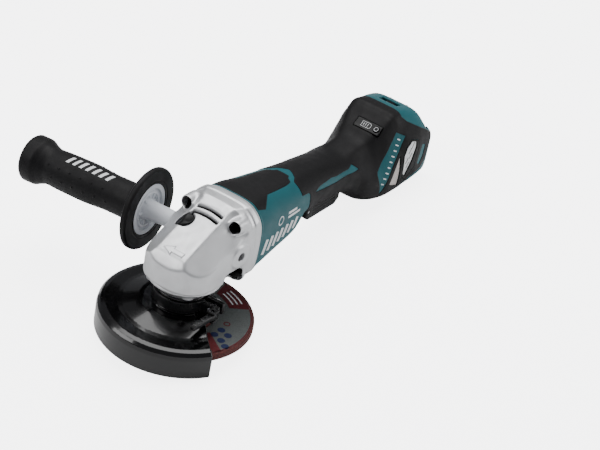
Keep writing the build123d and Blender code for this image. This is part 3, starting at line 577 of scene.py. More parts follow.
def moulded_plastic(name, color, roughness, grain=0.5, depth=0.02, specular=0.2):
    """Moulded plastic: fine spark-eroded grain, slight flow marks and uneven gloss."""
    shader = Shader(name, color, roughness, specular=specular)
    flow = shader.noise(35, 4)
    shader.paint(shader.colors(flow, 0.3, shaded(color, 0.90), 0.7, shaded(color, 1.10)))
    shader.dull(shader.mapped(shader.noise(9, 5), 0.3, 0.7, roughness - 0.05, roughness + 0.07))
    shader.raise_by(shader.cells(grain), depth, 0.6)
    shader.raise_by(shader.noise(grain * 2.5, 2), depth, 0.5)
    return shader.material


def cast_metal(name, color, roughness):
    """Painted die casting: orange peel, tiny pits and patches of different gloss."""
    shader = Shader(name, color, roughness, metallic=0.8, coat=0.3)
    shader.paint(shader.colors(shader.noise(22, 5), 0.3, shaded(color, 0.93), 0.7, shaded(color, 1.05)))
    shader.dull(shader.mapped(shader.noise(6, 5), 0.3, 0.7, roughness - 0.05, roughness + 0.08))
    shader.raise_by(shader.noise(1.6, 3), 0.03, 0.55)
    shader.raise_by(shader.noise(0.35, 2), 0.012, 0.5)
    return shader.material


def turned_metal(name, color, roughness, coat=0.0, metallic=1.0):
    """Machined or plated metal: fine rings from the lathe, smears and small scratches."""
    shader = Shader(name, color, roughness, metallic=metallic, coat=coat)
    rings = shader.noise(0.5, 2, scale=(0.15, 0.15, 3.0))
    shader.paint(shader.colors(shader.noise(8, 5), 0.3, shaded(color, 0.85), 0.7, shaded(color, 1.08)))
    shader.dull(shader.mapped(shader.noise(3, 5), 0.3, 0.7, roughness - 0.06, roughness + 0.12))
    shader.raise_by(rings, 0.012, 0.5)
    return shader.material


def gloss_paint(name, color, roughness):
    """Thick gloss paint: a slow orange peel and faint dust in the coat."""
    shader = Shader(name, color, roughness, coat=0.35, specular=0.3)
    shader.surface.inputs["Coat Roughness"].default_value = 0.06
    shader.paint(shader.colors(shader.noise(14, 5), 0.35, shaded(color, 0.75), 0.7, shaded(color, 1.3)))
    shader.dull(shader.mapped(shader.noise(5, 6), 0.35, 0.7, roughness - 0.01, roughness + 0.03))
    shader.raise_by(shader.noise(3.0, 2), 0.008, 0.15)
    return shader.material


def bonded_grit(name, color, dark, roughness):
    """Grinding grit in resin: coarse grains, dark pores and a rough surface."""
    shader = Shader(name, color, roughness, specular=0.35)
    shader.paint(shader.colors(shader.cells(0.9), 0.15, shaded(color, 1.25), 0.75, dark))
    shader.raise_by(shader.cells(0.9), 0.25, 0.9)
    shader.raise_by(shader.noise(0.4, 4), 0.10, 0.8)
    return shader.material


def printed_paper(name, color, roughness):
    """Printed label over a coarse wheel: paper fibres and the net showing through."""
    shader = Shader(name, color, roughness, specular=0.2)
    fibres = shader.noise(0.9, 6)
    shader.paint(shader.colors(fibres, 0.32, shaded(color, 0.80), 0.68, shaded(color, 1.14)))
    shader.dull(shader.mapped(shader.noise(4, 4), 0.3, 0.7, roughness - 0.08, roughness + 0.08))
    shader.raise_by(shader.noise(1.1, 4), 0.05, 0.6)
    return shader.material


def woven_mesh(name, color, roughness):
    """Fine woven mesh of the dust filters."""
    shader = Shader(name, color, roughness)
    warp = shader.nodes.new("ShaderNodeTexChecker")
    warp.inputs["Scale"].default_value = 1 / (0.8 * MM)
    shader.links.new(shader.place, warp.inputs["Vector"])
    shader.paint(shader.colors(warp.outputs["Fac"], 0.0, shaded(color, 0.72), 1.0, shaded(color, 1.12)))
    shader.raise_by(warp.outputs["Fac"], 0.12, 0.8)
    shader.raise_by(shader.noise(0.5, 3), 0.03, 0.5)
    return shader.material


TEAL = (0.008, 0.088, 0.104)
BLACK = (0.0034, 0.0031, 0.0036)

MATERIALS = {
    "cast_aluminium": cast_metal("cast_aluminium", (0.62, 0.625, 0.635), 0.42),
    "teal_plastic": moulded_plastic("teal_plastic", TEAL, 0.42, grain=0.5, depth=0.018),
    "black_plastic": moulded_plastic("black_plastic", (0.003, 0.003, 0.0032), 0.38, grain=0.5),
    "black_rubber": moulded_plastic("black_rubber", BLACK, 0.55, grain=0.6, depth=0.03),
    "white_plastic": moulded_plastic("white_plastic", (0.70, 0.72, 0.76), 0.35, grain=0.8, depth=0.01),
    "guard_paint": gloss_paint("guard_paint", (0.0012, 0.0012, 0.0014), 0.16),
    "black_steel": turned_metal("black_steel", (0.005, 0.005, 0.0055), 0.30, coat=0.3, metallic=0.3),
    "steel": turned_metal("steel", (0.56, 0.57, 0.59), 0.28),
    "abrasive": bonded_grit("abrasive", (0.10, 0.022, 0.020), (0.05, 0.014, 0.012), 0.85),
    "label_paper": printed_paper("label_paper", (0.085, 0.092, 0.090), 0.5),
    "nameplate_print": moulded_plastic("nameplate_print", (0.004, 0.004, 0.0043), 0.28, grain=2.0,
                                       depth=0.004),
    "copper": turned_metal("copper", (0.62, 0.26, 0.11), 0.35),
    "magnet": turned_metal("magnet", (0.35, 0.35, 0.37), 0.25),
    "filter_mesh": woven_mesh("filter_mesh", (0.66, 0.60, 0.57), 0.6),
    "contact_brass": turned_metal("contact_brass", (0.72, 0.55, 0.26), 0.25),
    "wire_cover": moulded_plastic("wire_cover", (0.25, 0.02, 0.02), 0.35, grain=1.0, depth=0.01),
}
LABEL_RED = printed_paper("label_red", (0.085, 0.010, 0.012), 0.45)
LABEL_BLUE = printed_paper("label_blue", (0.008, 0.014, 0.055), 0.45)
PRINT_WHITE = printed_paper("print_white", (0.78, 0.79, 0.80), 0.4)
# Near-black and dull: painted shade on the arch pocket walls, in the screw pockets and under the cooling
# slots, and the dark print of the window's strokes
PAINTED_SHADE_AND_PRINT_BLACK = moulded_plastic("painted_shade_and_print_black", (0.002, 0.002, 0.0022), 0.7, specular=0.1)


def finish_cad_nodes():
    """Give every CAD node that stays in view the material of its slot."""
    slots = {part["node"]: part["material_slot"] for part in frame["record"]["subparts"]}
    for name, node in frame["nodes"].items():
        for material_slot in node.material_slots:
            material_slot.material = MATERIALS[slots[name]]


# ---------------------------------------------------------------- gear head

def plateau_field(x, z, lift=0.0):
    """Distance above the sloping top of the gear head."""
    steepness = math.hypot(1, PLATEAU_RISE)
    return (z - PLATEAU_LOW[1] - lift - (x - PLATEAU_LOW[0]) * PLATEAU_RISE) / steepness


def roof_field(x, y, z, side):
    """Distance past the plane that falls from one edge of the sloping top."""
    edge = (PLATEAU_LOW[0], side * PLATEAU_HALF, PLATEAU_LOW[1])
    return plane_field(x, y, z, edge, (-0.72 * PLATEAU_RISE, side * 0.69, 0.72))


def head_bowl(x, y, z):
    """The bowl around the gears and the bonnet over it."""
    front = np.minimum(x, 0.0)
    power = 2.5
    wall = (np.abs(front) ** power + np.abs(y) ** power + 1e-6) ** (1 / power) - HEAD_RADIUS
    nose = plane_field(x, y, z, (PLATEAU_LOW[0], 0, PLATEAU_LOW[1]), (-1, 0, 0.75))
    bonnet = soft_max([plateau_field(x, z), roof_field(x, y, z, -1), roof_field(x, y, z, 1), nose,
                       z - 101.5], 0.5)
    return soft_max([wall, bonnet, 47.9 - z, x - 46], 0.6)


def head_rim(x, y, z):
    """The flange that bolts to the motor housing, with its raised lip."""
    rim = body_field(np.full_like(x, 51.0), y, z, 3.2) - 0.4
    band = soft_max([rim + 1.3, RIM_FRONT - x, x - RIM_BACK], 0.6)
    lip = soft_max([rim, 43.5 - x, x - RIM_BACK], 0.5)
    return soft_min([band, lip], 0.3)


def side_boss(x, y, z, side, radius, start, length, edge=0.4):
    """A bar along the axis of a side handle hole."""
    px, py, pz = SIDE_HOLE
    unit = np.array([SIDE_LEAN[0], side * SIDE_LEAN[1], SIDE_LEAN[2]])
    unit = unit / np.linalg.norm(unit)
    origin = np.array([px, side * py, pz]) + unit * start
    return rod_field(x, y, z, origin, unit, radius, length, edge)


def curved_slot(x, y, z, middle_x):
    """A cooling slot across the top, bowed a little to the back."""
    line_x = middle_x + SLOT_BOW * (1 - (y / SLOT_HALF_LENGTH) ** 2)
    across = np.abs(x - line_x) - SLOT_HALF_WIDTH
    along = np.abs(y) - SLOT_HALF_LENGTH
    return soft_max([across, along, 88 - z], 0.8)


def arrow_ridge(x, y, z):
    """A raised arrow at the front of the sloping top, pointing to +Y."""
    outline = [(-19.3, -9.9), (-19.5, 0.6), (-17.2, 0.8), (-21.4, 9.3), (-25.0, 0.6), (-22.9, 0.6),
               (-22.9, -9.6)]
    ridge = outline_field(x, y, outline)
    return soft_max([ridge, plateau_field(x, z) - 0.7, -plateau_field(x, z) - 1.5], 0.2)


def arch_pocket(x, y, z, side):
    """The pocket under the side boss, open to the side and below."""
    inner, outer = sorted((side * 23.0, side * 50.0))
    return box_field(x, y, z, (10.5, inner, 25), (33.5, outer, 56.0), 6.0)


def case_screw_places():
    """Each case screw's y and z."""
    return [(side * screw_y, screw_z) for side in (-1, 1) for screw_y, screw_z in (TOP_SCREW, LOW_SCREW)]


def head_outside(x, y, z):
    """The head's outer form without its bosses."""
    return soft_min([head_bowl(x, y, z), head_rim(x, y, z)], 2.2)


def head_field(x, y, z):
    head = head_outside(x, y, z)
    for side in (-1, 1):
        for screw_y, screw_z in (TOP_SCREW, LOW_SCREW):
            boss = rod_field(x, y, z, (22.5, side * screw_y, screw_z), (1, 0, 0),
                             CASE_BOSS_RADIUS, 14, 0.8)
            head = soft_min([head, soft_max([boss, x - 40], 0.4)], 1.2)
        head = soft_min([head, side_boss(x, y, z, side, SIDE_BOSS_RADIUS, -6, 5.2, 0.8)], 2.4)
    head = soft_min([head, arrow_ridge(x, y, z)], 0.25)
    for side in (-1, 1):
        for screw_y, screw_z in (TOP_SCREW, LOW_SCREW):
            pocket = rod_field(x, y, z, (12, side * screw_y, screw_z), (1, 0, 0),
                               CASE_POCKET_RADIUS, 22, 0.5)
            head = cut(head, pocket, 0.6)
        head = cut(head, arch_pocket(x, y, z, side), 0.5)
        head = cut(head, side_boss(x, y, z, side, SIDE_HOLE_RADIUS, -12, 20), 0.4)
    for middle_x in SLOT_MIDDLES:
        head = cut(head, curved_slot(x, y, z, middle_x), 0.7)
    button_x, button_y = LOCK_BUTTON
    well = rod_field(x, y, z, (button_x, button_y, 78), (0, 0, 1), BUTTON_WELL_RADIUS, 30)
    head = cut(head, well, 0.3)
    inner = soft_max([head_bowl(x, y, z) + BOWL_WALL, x - 40], 0.8)
    inner = soft_min([inner, soft_max([head_rim(x, y, z) + RIM_WALL, 36 - x], 0.8)], 1.0)
    head = cut(head, inner, 0.4)
    return cut(head, rod_field(x, y, z, (0, 0, 30), (0, 0, 1), 28.0, 25), 0.3)


def pocket_shade_liner(x, y, z, side):
    """Painted shade: a thin dark skin on the walls of one arch pocket, where shade falls."""
    pocket = arch_pocket(x, y, z, side)
    body = head_outside(x, y, z)
    return soft_max([pocket - 0.2, -pocket - 0.9, body + 0.5], 0.2)


def screw_pocket_shade(x, y, z):
    """Painted shade: dark skins on the walls of the pockets in front of the four case screws."""
    shade_skins = []
    for screw_y, screw_z in case_screw_places():
        across = np.hypot(y - screw_y, z - screw_z)
        shade_skins.append(soft_max([across - 5.1, 4.2 - across, 22 - x, x - 34], 0.15))
    body = head_outside(x, y, z)
    return soft_max([np.minimum.reduce(shade_skins), body - 0.3], 0.15)


def lock_button_field(x, y, z):
    """The shaft lock's button: a round key trimmed by the roof beside it."""
    button_x, button_y = LOCK_BUTTON
    key = rod_field(x, y, z, (button_x, button_y, 80), (0, 0, 1), BUTTON_RADIUS, 20, 0.3)
    dish = np.sqrt((x - button_x + 1) ** 2 + (y - button_y + 1) ** 2 + (z - 108) ** 2) - 17.6
    return cut(soft_max([key, plateau_field(x, z) - 0.8, roof_field(x, y, z, 1) + 0.4], 0.5), dish, 0.3)


def slot_shade_plate(x, y, z):
    """Painted shade: a dark plate under the cooling slots that stands in for the shade inside the head.
    """
    level = plateau_field(x, z)
    return soft_max([level + 5.2, -level - 6.8, 14.9 - x, x - 27, np.abs(y) - 17.5], 0.3)


def case_screws(x, y, z):
    """The four screws through the head's rim into the motor housing."""
    fields = [screw_field(y - screw_y, z - screw_z, x - CASE_SCREW_TOP, 4.0, 3.2, 2.0, 31.0)
              for screw_y, screw_z in case_screw_places()]
    return np.minimum.reduce(fields)


def make_head():
    field_piece("gear_head", head_field, (-33, -36.5, 36), (51.5, 36.5, 104), FINE,
                "cast_aluminium", stands_for=("gear_housing",))
    for side, name in ((-1, "left"), (1, "right")):
        y0, y1 = sorted((side * 22, side * 36))
        # painted shade: a dark skin on the walls of each arch pocket
        field_piece(f"pocket_shade_liner_{name}", lambda x, y, z, side=side: pocket_shade_liner(x, y, z, side),
                    (9, y0, 36), (35, y1, 57.5), FINE, "black_plastic", finish=PAINTED_SHADE_AND_PRINT_BLACK)
    field_piece("lock_key", lock_button_field, (0, 5, 80), (14.2, 20, 97), FINE, "black_plastic",
                body="shaft_lock", stands_for=("lock_button",))
    # painted shade: a dark plate under the cooling slots
    field_piece("slot_shade_plate", slot_shade_plate, (14.5, -18, 84), (27.5, 18, 97), FINE, "black_plastic",
                finish=PAINTED_SHADE_AND_PRINT_BLACK)
    # painted shade: dark skins in the pockets in front of the case screws
    field_piece("screw_pocket_shade", screw_pocket_shade, (21, -33, 40), (34.5, 33, 99), FINE, "black_plastic",
                finish=PAINTED_SHADE_AND_PRINT_BLACK)
    field_piece("case_screws", case_screws, (30.5, -31.5, 41.5), (62, 31.5, 97.5), FINE,
                "black_steel", stands_for=("gear_housing_screws",))


# ---------------------------------------------------------------- bearing box and clamp

BOX_PROFILE = [(9.5, 22.5), (20.0, 22.5), (20.0, 37.2), (22.8, 38.4), (29.6, 44.2), (31.0, 45.6),
               (31.0, 47.7), (28.4, 47.7), (28.4, 51.4), (16.0, 51.4), (16.0, 42.0), (9.5, 42.0)]


def box_screw_places():
    return [(BOX_SCREW_RADIUS * math.cos(angle), BOX_SCREW_RADIUS * math.sin(angle))
            for angle in (math.radians(45 + 90 * index) for index in range(4))]


def bearing_box_field(x, y, z):
    """The tapered cover under the head, with a scalloped pocket for each screw."""
    cover = eased_outline(np.hypot(x, y), z, BOX_PROFILE, 0.5)
    for place_x, place_y in box_screw_places():
        boss = soft_max([np.hypot(x - place_x, y - place_y) - 5.2, 41.2 - z, z - 47], 0.5)
        cover = soft_min([cover, soft_max([boss, np.hypot(x, y) - 30.6], 0.4)], 0.5)
    for place_x, place_y in box_screw_places():
        across = np.hypot(x - place_x, y - place_y)
        cover = cut(cover, soft_max([across - 3.5, z - 44.9], 0.3), 0.4)
        cover = cut(cover, across - 1.7, 0.1)
    return cover


def box_screws(x, y, z):
    fields = [screw_field(x - place_x, y - place_y, z - 42.5, 3.0, 2.5, 1.5, 14.5)
              for place_x, place_y in box_screw_places()]
    return np.minimum.reduce(fields)


def clamp_place(x, y):
    """Horizontal distances in the clamp's own frame: outward through its ears, and across."""
    angle = math.radians(CLAMP_ANGLE)
    return x * math.cos(angle) + y * math.sin(angle), y * math.cos(angle) - x * math.sin(angle)


def clamp_field(x, y, z):
    """The band round the guard's collar, its two ears and the lever's fork."""
    u, v = clamp_place(x, y)
    radius = np.hypot(x, y)
    clamp = soft_max([radius - 23.4, 21.65 - radius, CLAMP_LOW - z, z - CLAMP_HIGH], 0.3)
    for low, high in ((-6.2, -2.0), (2.0, 6.2)):
        ear = box_field(u, v, z, (21.9, low, CLAMP_LOW), (38, high, CLAMP_HIGH), 1.1)
        clamp = soft_min([clamp, ear], 0.4)
    for low, high in ((24.0, 26.0), (32.0, 34.0)):
        cheek = box_field(u, v, z, (32.6, -14.2, low), (40, -5.5, high), 0.7)
        clamp = soft_min([clamp, cheek], 0.3)
    clamp = cut(clamp, box_field(u, v, z, (15, -2, 20), (45, 2, 40), 0.3), 0.3)
    clamp = cut(clamp, radius - 21.62, 0.05)
    hole = np.hypot(u - CLAMP_SCREW[0], z - CLAMP_SCREW[1]) - 2.05
    return cut(clamp, soft_max([hole, -v - 30], 0.1), 0.15)


def clamp_screw_field(x, y, z):
    """The clamp's cross screw, with a hexagon socket in its head."""
    u, v = clamp_place(x, y)
    a, b = u - CLAMP_SCREW[0], z - CLAMP_SCREW[1]
    across = np.hypot(a, b)
    screw = soft_max([across - 2.0, -6.0 - v, v - 7.5], 0.2)
    head = soft_max([across - 3.6, 6.0 - v, v - 9.0], 0.4)
    hexagon = np.maximum.reduce([np.abs(a * math.cos(turn) + b * math.sin(turn)) - 1.6
                                 for turn in (0, math.pi / 3, 2 * math.pi / 3)])
    return cut(np.minimum(screw, head), soft_max([hexagon, 7.4 - v], 0.15), 0.15)


def lever_field(x, y, z):
    """The guard's release lever, with finger grooves across its free end."""
    u, v = clamp_place(x, y)
    arm = eased_outline(u, v, [(33.5, -12.5), (39.0, -12.5), (36.0, -36.0), (31.0, -36.0)], 0.8)
    lever = soft_max([arm, 26.5 - z, z - 31.5], 0.5)
    around_pin = np.hypot(u - LEVER_PIN[0], v - LEVER_PIN[1])
    boss = soft_max([around_pin - 3.2, 26.5 - z, z - 31.5], 0.4)
    lever = soft_min([lever, boss], 0.6)
    for middle in (-25.0, -28.0, -31.0, -34.0):
        lever = cut(lever, np.hypot(v - middle, z - 32.0) - 1.1, 0.2)
    return cut(lever, around_pin - 1.55, 0.1)


def make_neck():
    field_piece("neck_cover", bearing_box_field, (-31.5, -31.5, 22), (31.5, 31.5, 52), FINE,
                "cast_aluminium", stands_for=("bearing_box",))
    field_piece("neck_screws", box_screws, (-22, -22, 42), (22, 22, 58), FINE, "steel",
                stands_for=("bearing_box_screws",))
    field_piece("guard_clamp", clamp_field, (-24, -42, 23.5), (24, 24, 34.5), FINE, "black_steel",
                body="guard", stands_for=("clamp_band",))
    field_piece("guard_clamp_screw", clamp_screw_field, (-10, -36, 24.5), (15, -24, 33.5), FINE,
                "steel", body="guard", stands_for=("clamp_screw",))
    field_piece("release_lever", lever_field, (-36, -44, 26), (-5, -28, 32), FINE, "black_steel",
                body="guard_lever", stands_for=("guard_lever",))


# ---------------------------------------------------------------- wheel

WHEEL_PROFILE = [(12.4, 9.5), (21.0, 9.5), (28.0, 5.0), (62.5, 5.0), (62.5, 11.0), (29.5, 11.0),
                 (22.5, 15.5), (12.4, 15.5)]


def wheel_field(x, y, z):
    return eased_outline(np.hypot(x, y), z, WHEEL_PROFILE, 0.4)


def label_field(x, y, z):
    radius = np.hypot(x, y)
    inner, outer = LABEL_RADII
    return soft_max([radius - outer, inner - radius, 7.5 - z, z - LABEL_TOP], 0.1)


def nut_field(x, y, z):
    """The wheel's lock nut with its four key holes and a raised ring."""
    radius = np.hypot(x, y)
    nut = soft_max([radius - NUT_RADIUS, 7.05 - radius, 4.0 - z, z - 9.5], 0.5)
    nut = np.minimum(nut, soft_max([radius - 11.0, 7.05 - radius, 8.0 - z, z - 11.4], 0.2))
    nut = cut(nut, soft_max([np.abs(radius - 11.0) - 0.5, z - 4.6], 0.15), 0.15)
    for index in range(4):
        angle = math.pi / 2 * index
        hole = np.hypot(x - NUT_HOLE_PLACE * math.cos(angle), y - NUT_HOLE_PLACE * math.sin(angle)) - 2.5
        nut = cut(nut, soft_max([hole, z - 7.5], 0.2), 0.25)
    return nut


def arc(radius, start, end, cuts=14):
    """Points on a circle round the spindle, between two directions in degrees."""
    turn = np.radians(np.linspace(start, end, cuts))
    return np.stack([radius * np.cos(turn), radius * np.sin(turn)], axis=1)


def make_wheel():
    field_piece("wheel_disc", wheel_field, (-63, -63, 4.5), (63, 63, 16), MEDIUM, "abrasive",
                body="spindle", stands_for=("grinding_wheel",))
    field_piece("wheel_face", label_field, (-61, -61, 7), (61, 61, 11.6), MEDIUM, "label_paper",
                body="spindle", stands_for=("wheel_label",))
    field_piece("wheel_nut", nut_field, (-21, -21, 3.5), (21, 21, 12), FINE, "steel",
                body="spindle", stands_for=("lock_nut",))
    tag = (arc(60.0, -41, -3), arc(43.0, -38, -9))
    band = bar((-8.5, -34.5), (-21.5, -56.0), 7.5)
    rim = (arc(60.3, -135, -41), arc(59.3, -135, -41))
    print_strips("label_tag", [tag, band, rim], on_label, LABEL_RED, "spindle")
    stripes = [(arc(56.0 - 4 * index, -33, -13), arc(54.8 - 4 * index, -33, -13)) for index in range(3)]
    print_strips("label_stripes", stripes, on_label, PRINT_WHITE, "spindle", lift=0.2)
    spots = [disc(centre, 3.2) for centre in SPOT_PLACES]
    print_strips("label_spots", spots, on_label, LABEL_BLUE, "spindle")
    print_strips("label_ring", [hoop((14.5, -38.8), 2.4, 1.0)], on_label, LABEL_RED,
                 "spindle")


# ---------------------------------------------------------------- body

# Regions of the body's surface, as x and the distance round the body from the middle of its top
FRONT_PATCH = [(53.4, -5), (53.4, 22.4), (55, 22.7), (63, 24.5), (70, 20.2), (77.6, 16.1), (90, 16.7),
               (106, 17.2), (112, 16.9), (116.6, 15.9), (119.4, 10.7), (124.9, 7.4), (125.5, 3),
               (125.5, -5)]
GRIP_FRONT = [(400, -5), (132.3, -5), (132.1, 0.9), (129.5, 7.4), (126.1, 13.2), (120, 17.4),
              (113.1, 19.6), (84.8, 18.3), (84.0, 22), (83.1, 27.3), (131.9, 34.3), (133.9, 36.5),
              (136.8, 56.5), (138, 100), (400, 100)]
ACCENT = [(144.1, 38.6), (150.9, 35.7), (171.1, 35.1), (174.3, 36.0), (179.4, 37.1), (198.9, 37.5),
          (204.9, 34.9), (212.7, 43.1), (196.1, 42.3), (181.8, 42.9), (176.7, 42.9), (161.2, 41.2)]

# Regions of the body's sides, as x and z
REAR_SKIN = [(120, 130), (273, 130), (273.5, 110), (272.2, 106.6), (277.1, 102), (291.6, 94.2),
             (303.4, 88.1), (311.6, 83.3), (311, 70), (309, 56), (304.5, 49.5), (297, 46.5),
             (286, 45.5), (276.5, 42.5), (270, 28), (120, 28)]
STRIP = [(259.8, 96.7), (269.5, 91.7), (264.6, 85.5), (253.6, 67.3), (240.1, 43.2), (235.9, 63),
         (236.3, 65.2), (249.7, 82.7)]
FILTER = [(262.6, 75.0), (264.5, 44.5), (250.5, 49.5)]
WINDOW = [(269.5, 82.5), (276.5, 87.6), (286.9, 84.1), (289.2, 75.1), (287.8, 55.9), (275.8, 46),
          (268.4, 52.1), (265.6, 71.9)]
WINDOW_PANEL = [(271, 80.8), (277.6, 85.2), (284.0, 83.4), (285.2, 77.5), (281.6, 64.7), (274.4, 51.2),
                (269.6, 55.5), (267.8, 73.5)]
REAR_STRIP = [(296.5, 76.1), (302.8, 73.6), (302, 61.6), (298.4, 54.5), (293.5, 57.5)]
WINDOW_STROKES = [(280.2, 80.5), (276.4, 76.0), (278.6, 70.5), (273.6, 67.0), (276.0, 61.5)]
TICK_ENDS = np.array([(241.5, 53.0), (262.0, 90.0)])
TICK_REACH = np.array((1.5, -0.7))
TICK_COUNT = 9
NAMEPLATE = [(63, 56.5), (63, 81.5), (64.5, 83), (113.5, 81), (115, 79.5), (115, 57), (113.5, 55.5),
             (64.5, 55)]
WINDOW_DEPTH = 1.1
FILTER_DEPTH = 1.1
NAMEPLATE_DEPTH = 0.15
WEAVE_HEIGHT = 0.12
WEAVE_TURNS = 4.2               # radians of weave for each millimetre
SIDE_DETAIL_INNER = 12          # details on the sides keep this far from the middle plane
GAUGE_HALF = (4.9, 12.9)
GAUGE_LEVEL = 0.2
GAUGE_BUTTON_TOP = 0.95
GAUGE_BUTTON_OFFSET = -9.0      # the button's place across the plate
GAUGE_ICON = [(-2.4, 6.4), (2.8, 6.4), (2.8, -1.6), (1.5, -2.9), (-1.1, -2.9), (-2.4, -1.6)]


def case_shell(x, y, z):
    """A wall of hard plastic under the body's outer form."""
    form = body_field(x, y, z) + CASE_INSET
    return cut(form, form + CASE_WALL, 0.2)


def motor_case_field(x, y, z):
    """The teal motor housing with its lip against the gear head."""
    form = body_field(x, y, z) + CASE_INSET
    lip = soft_max([body_field(x, y, z, 3.0) - 0.2, x - 53.0], 0.4)
    form = soft_min([form, lip], 0.4)
    wall = cut(form, body_field(x, y, z) + CASE_INSET + CASE_WALL, 0.2)
    return soft_max([wall, 51.15 - x, x - 136.5 + 0.05 * (z - 75)], 0.3)


def patch_field(x, y, z):
    """The soft patch on top of the motor housing's front."""
    form = body_field(x, y, z)
    region = outline_field(x, girth(y, z), FRONT_PATCH)
    return soft_max([form, -form - SKIN_DEPTH, region], 0.35)


def paddle_gap(x, y, z):
    """The space for the paddle in the handle's underside."""
    half = PADDLE_HALF + PADDLE_CLEARANCE
    return box_field(x, y, z, (136.5, -half, 20), (202, half, 66), 1.5)


def grip_skin_field(x, y, z):
    """The soft overmould from the motor housing to the rear end."""
    form = body_field(x, y, z)
    front = outline_field(x, girth(y, z), GRIP_FRONT)
    rear = outline_field(x, z, REAR_SKIN)
    region = soft_max([front, rear], 0.3)
    flat = np.where(np.abs(y) > 12, 0.0, 50.0)
    region = cut(region, outline_field(x, girth(y, z), ACCENT), 0.35)
    for opening in (STRIP, FILTER, WINDOW, REAR_STRIP):
        region = cut(region, outline_field(x, z, opening) + flat, 0.35)
    region = cut(region, paddle_gap(x, y, z), 0.3)
    skin = soft_max([form, -form - SKIN_DEPTH, region], 0.35)
    return cut(skin, gauge_box(x, y, z, 5.1, 13.1, 4.0, 0.5), 0.2)


def gauge_frame(x, y, z):
    """A point's place along, across and above the gauge's plate."""
    cx, cy, cz = GAUGE_CENTRE
    c, s = math.cos(GAUGE_SLOPE), math.sin(GAUGE_SLOPE)
    return (x - cx) * c + (z - cz) * s, y - cy, (z - cz) * c - (x - cx) * s


def gauge_box(x, y, z, half_width, half_length, half_height, radius=1.2):
    """A box lying on the sloping face in front of the hump."""
    along, across, up = gauge_frame(x, y, z)
    return box_field(along, across, up, (-half_width, -half_length, -half_height),
                     (half_width, half_length, half_height), radius)


def handle_case_field(x, y, z):
    """The hard shell that shows through the overmould."""
    form = case_shell(x, y, z)
    form = soft_max([form, 137 - x, x - 271.6], 0.2)
    form = cut(form, outline_solid(x, np.abs(y), z, FILTER, 1), 0.3)
    form = cut(form, window_recess(x, np.abs(y), z, 1), 0.3)
    form = cut(form, gauge_box(x, y, z, 8.0, 16.0, 5.0), 0.3)
    return cut(form, paddle_gap(x, y, z), 0.3)


def window_recess(x, y, z, side):
    """The space for the panel set back in the window on one side."""
    region = outline_field(x, z, WINDOW) + 0.5
    floor = -body_field(x, y, z) - WINDOW_DEPTH - 1.3
    return soft_max([region, SIDE_DETAIL_INNER - side * y, floor], 0.2)


def outline_solid(x, y, z, outline, side):
    """An (x, z) outline taken through one side of the body."""
    return np.maximum(outline_field(x, z, outline), SIDE_DETAIL_INNER - side * y)


def make_body():
    field_piece("motor_case", motor_case_field, (51, -33.5, 37), (138, 33.5, 103), MEDIUM,
                "teal_plastic", stands_for=("motor_housing",))
    field_piece("top_patch", patch_field, (53, -31, 66), (121, 31, 103), FINE, "black_rubber")
    field_piece("handle_case", handle_case_field, (137, -38.5, 31), (272, 38.5, 113), MEDIUM,
                "teal_plastic", stands_for=("handle_shell_left", "handle_shell_right"))
    field_piece("grip_skin", grip_skin_field, (79, -38.5, 31), (312, 38.5, 113), FINE,
                "black_rubber", stands_for=("handle_skin_left", "handle_skin_right"))
    for side, name in ((-1, "left"), (1, "right")):
        make_side_details(side, name)


def window_panel_field(x, y, z, side):
    """The flat panel set back in the window on one side."""
    form = body_field(x, y, z)
    region = outline_field(x, z, WINDOW_PANEL) - 0.8
    return soft_max([form + WINDOW_DEPTH, -form - WINDOW_DEPTH - 1.4, region,
                     SIDE_DETAIL_INNER - side * y], 0.25)


def window_frame_field(x, y, z, side):
    """The raised rim round one window, which lies behind the filter."""
    form = body_field(x, y, z)
    region = np.maximum(outline_field(x, z, WINDOW), -outline_field(x, z, WINDOW_PANEL))
    return soft_max([form - 0.05, -form - 2.6, region, SIDE_DETAIL_INNER - side * y], 0.35)


def gauge_plate_field(x, y, z):
    """The battery gauge's plate, with the well for its button."""
    plate = gauge_box(x, y, z, *GAUGE_HALF, 1.5, 0.4)
    _, _, up = gauge_frame(x, y, z)
    plate = soft_max([plate, up - GAUGE_LEVEL], 0.2)
    well = button_distance(x, y, z) - 2.95
    return cut(plate, well, 0.2)


def button_distance(x, y, z):
    along, across, _ = gauge_frame(x, y, z)
    return np.hypot(along, across - GAUGE_BUTTON_OFFSET)


def gauge_button_field(x, y, z):
    """The gauge's rubber button, a little domed."""
    _, _, up = gauge_frame(x, y, z)
    across = button_distance(x, y, z)
    return soft_max([across - 2.75, up - 1.1 + across * across * 0.03, -4.0 - up], 0.3)


def nameplate_field(x, y, z):
    """The plate let into the motor housing's +Y side."""
    form = body_field(x, y, z)
    region = eased_outline(x, z, NAMEPLATE, 0.5)
    return soft_max([form + NAMEPLATE_DEPTH, -form - 1.4, region, SIDE_DETAIL_INNER - y], 0.2)


def filter_field(x, y, z, side):
    """The mesh of one dust filter, set a little into its opening."""
    form = body_field(x, y, z)
    weave = WEAVE_HEIGHT * np.sin(x * WEAVE_TURNS) * np.sin(z * WEAVE_TURNS)
    region = outline_field(x, z, FILTER) - 0.2
    return soft_max([form + FILTER_DEPTH + weave, -form - 3.0, region,
                     SIDE_DETAIL_INNER - side * y], 0.2)


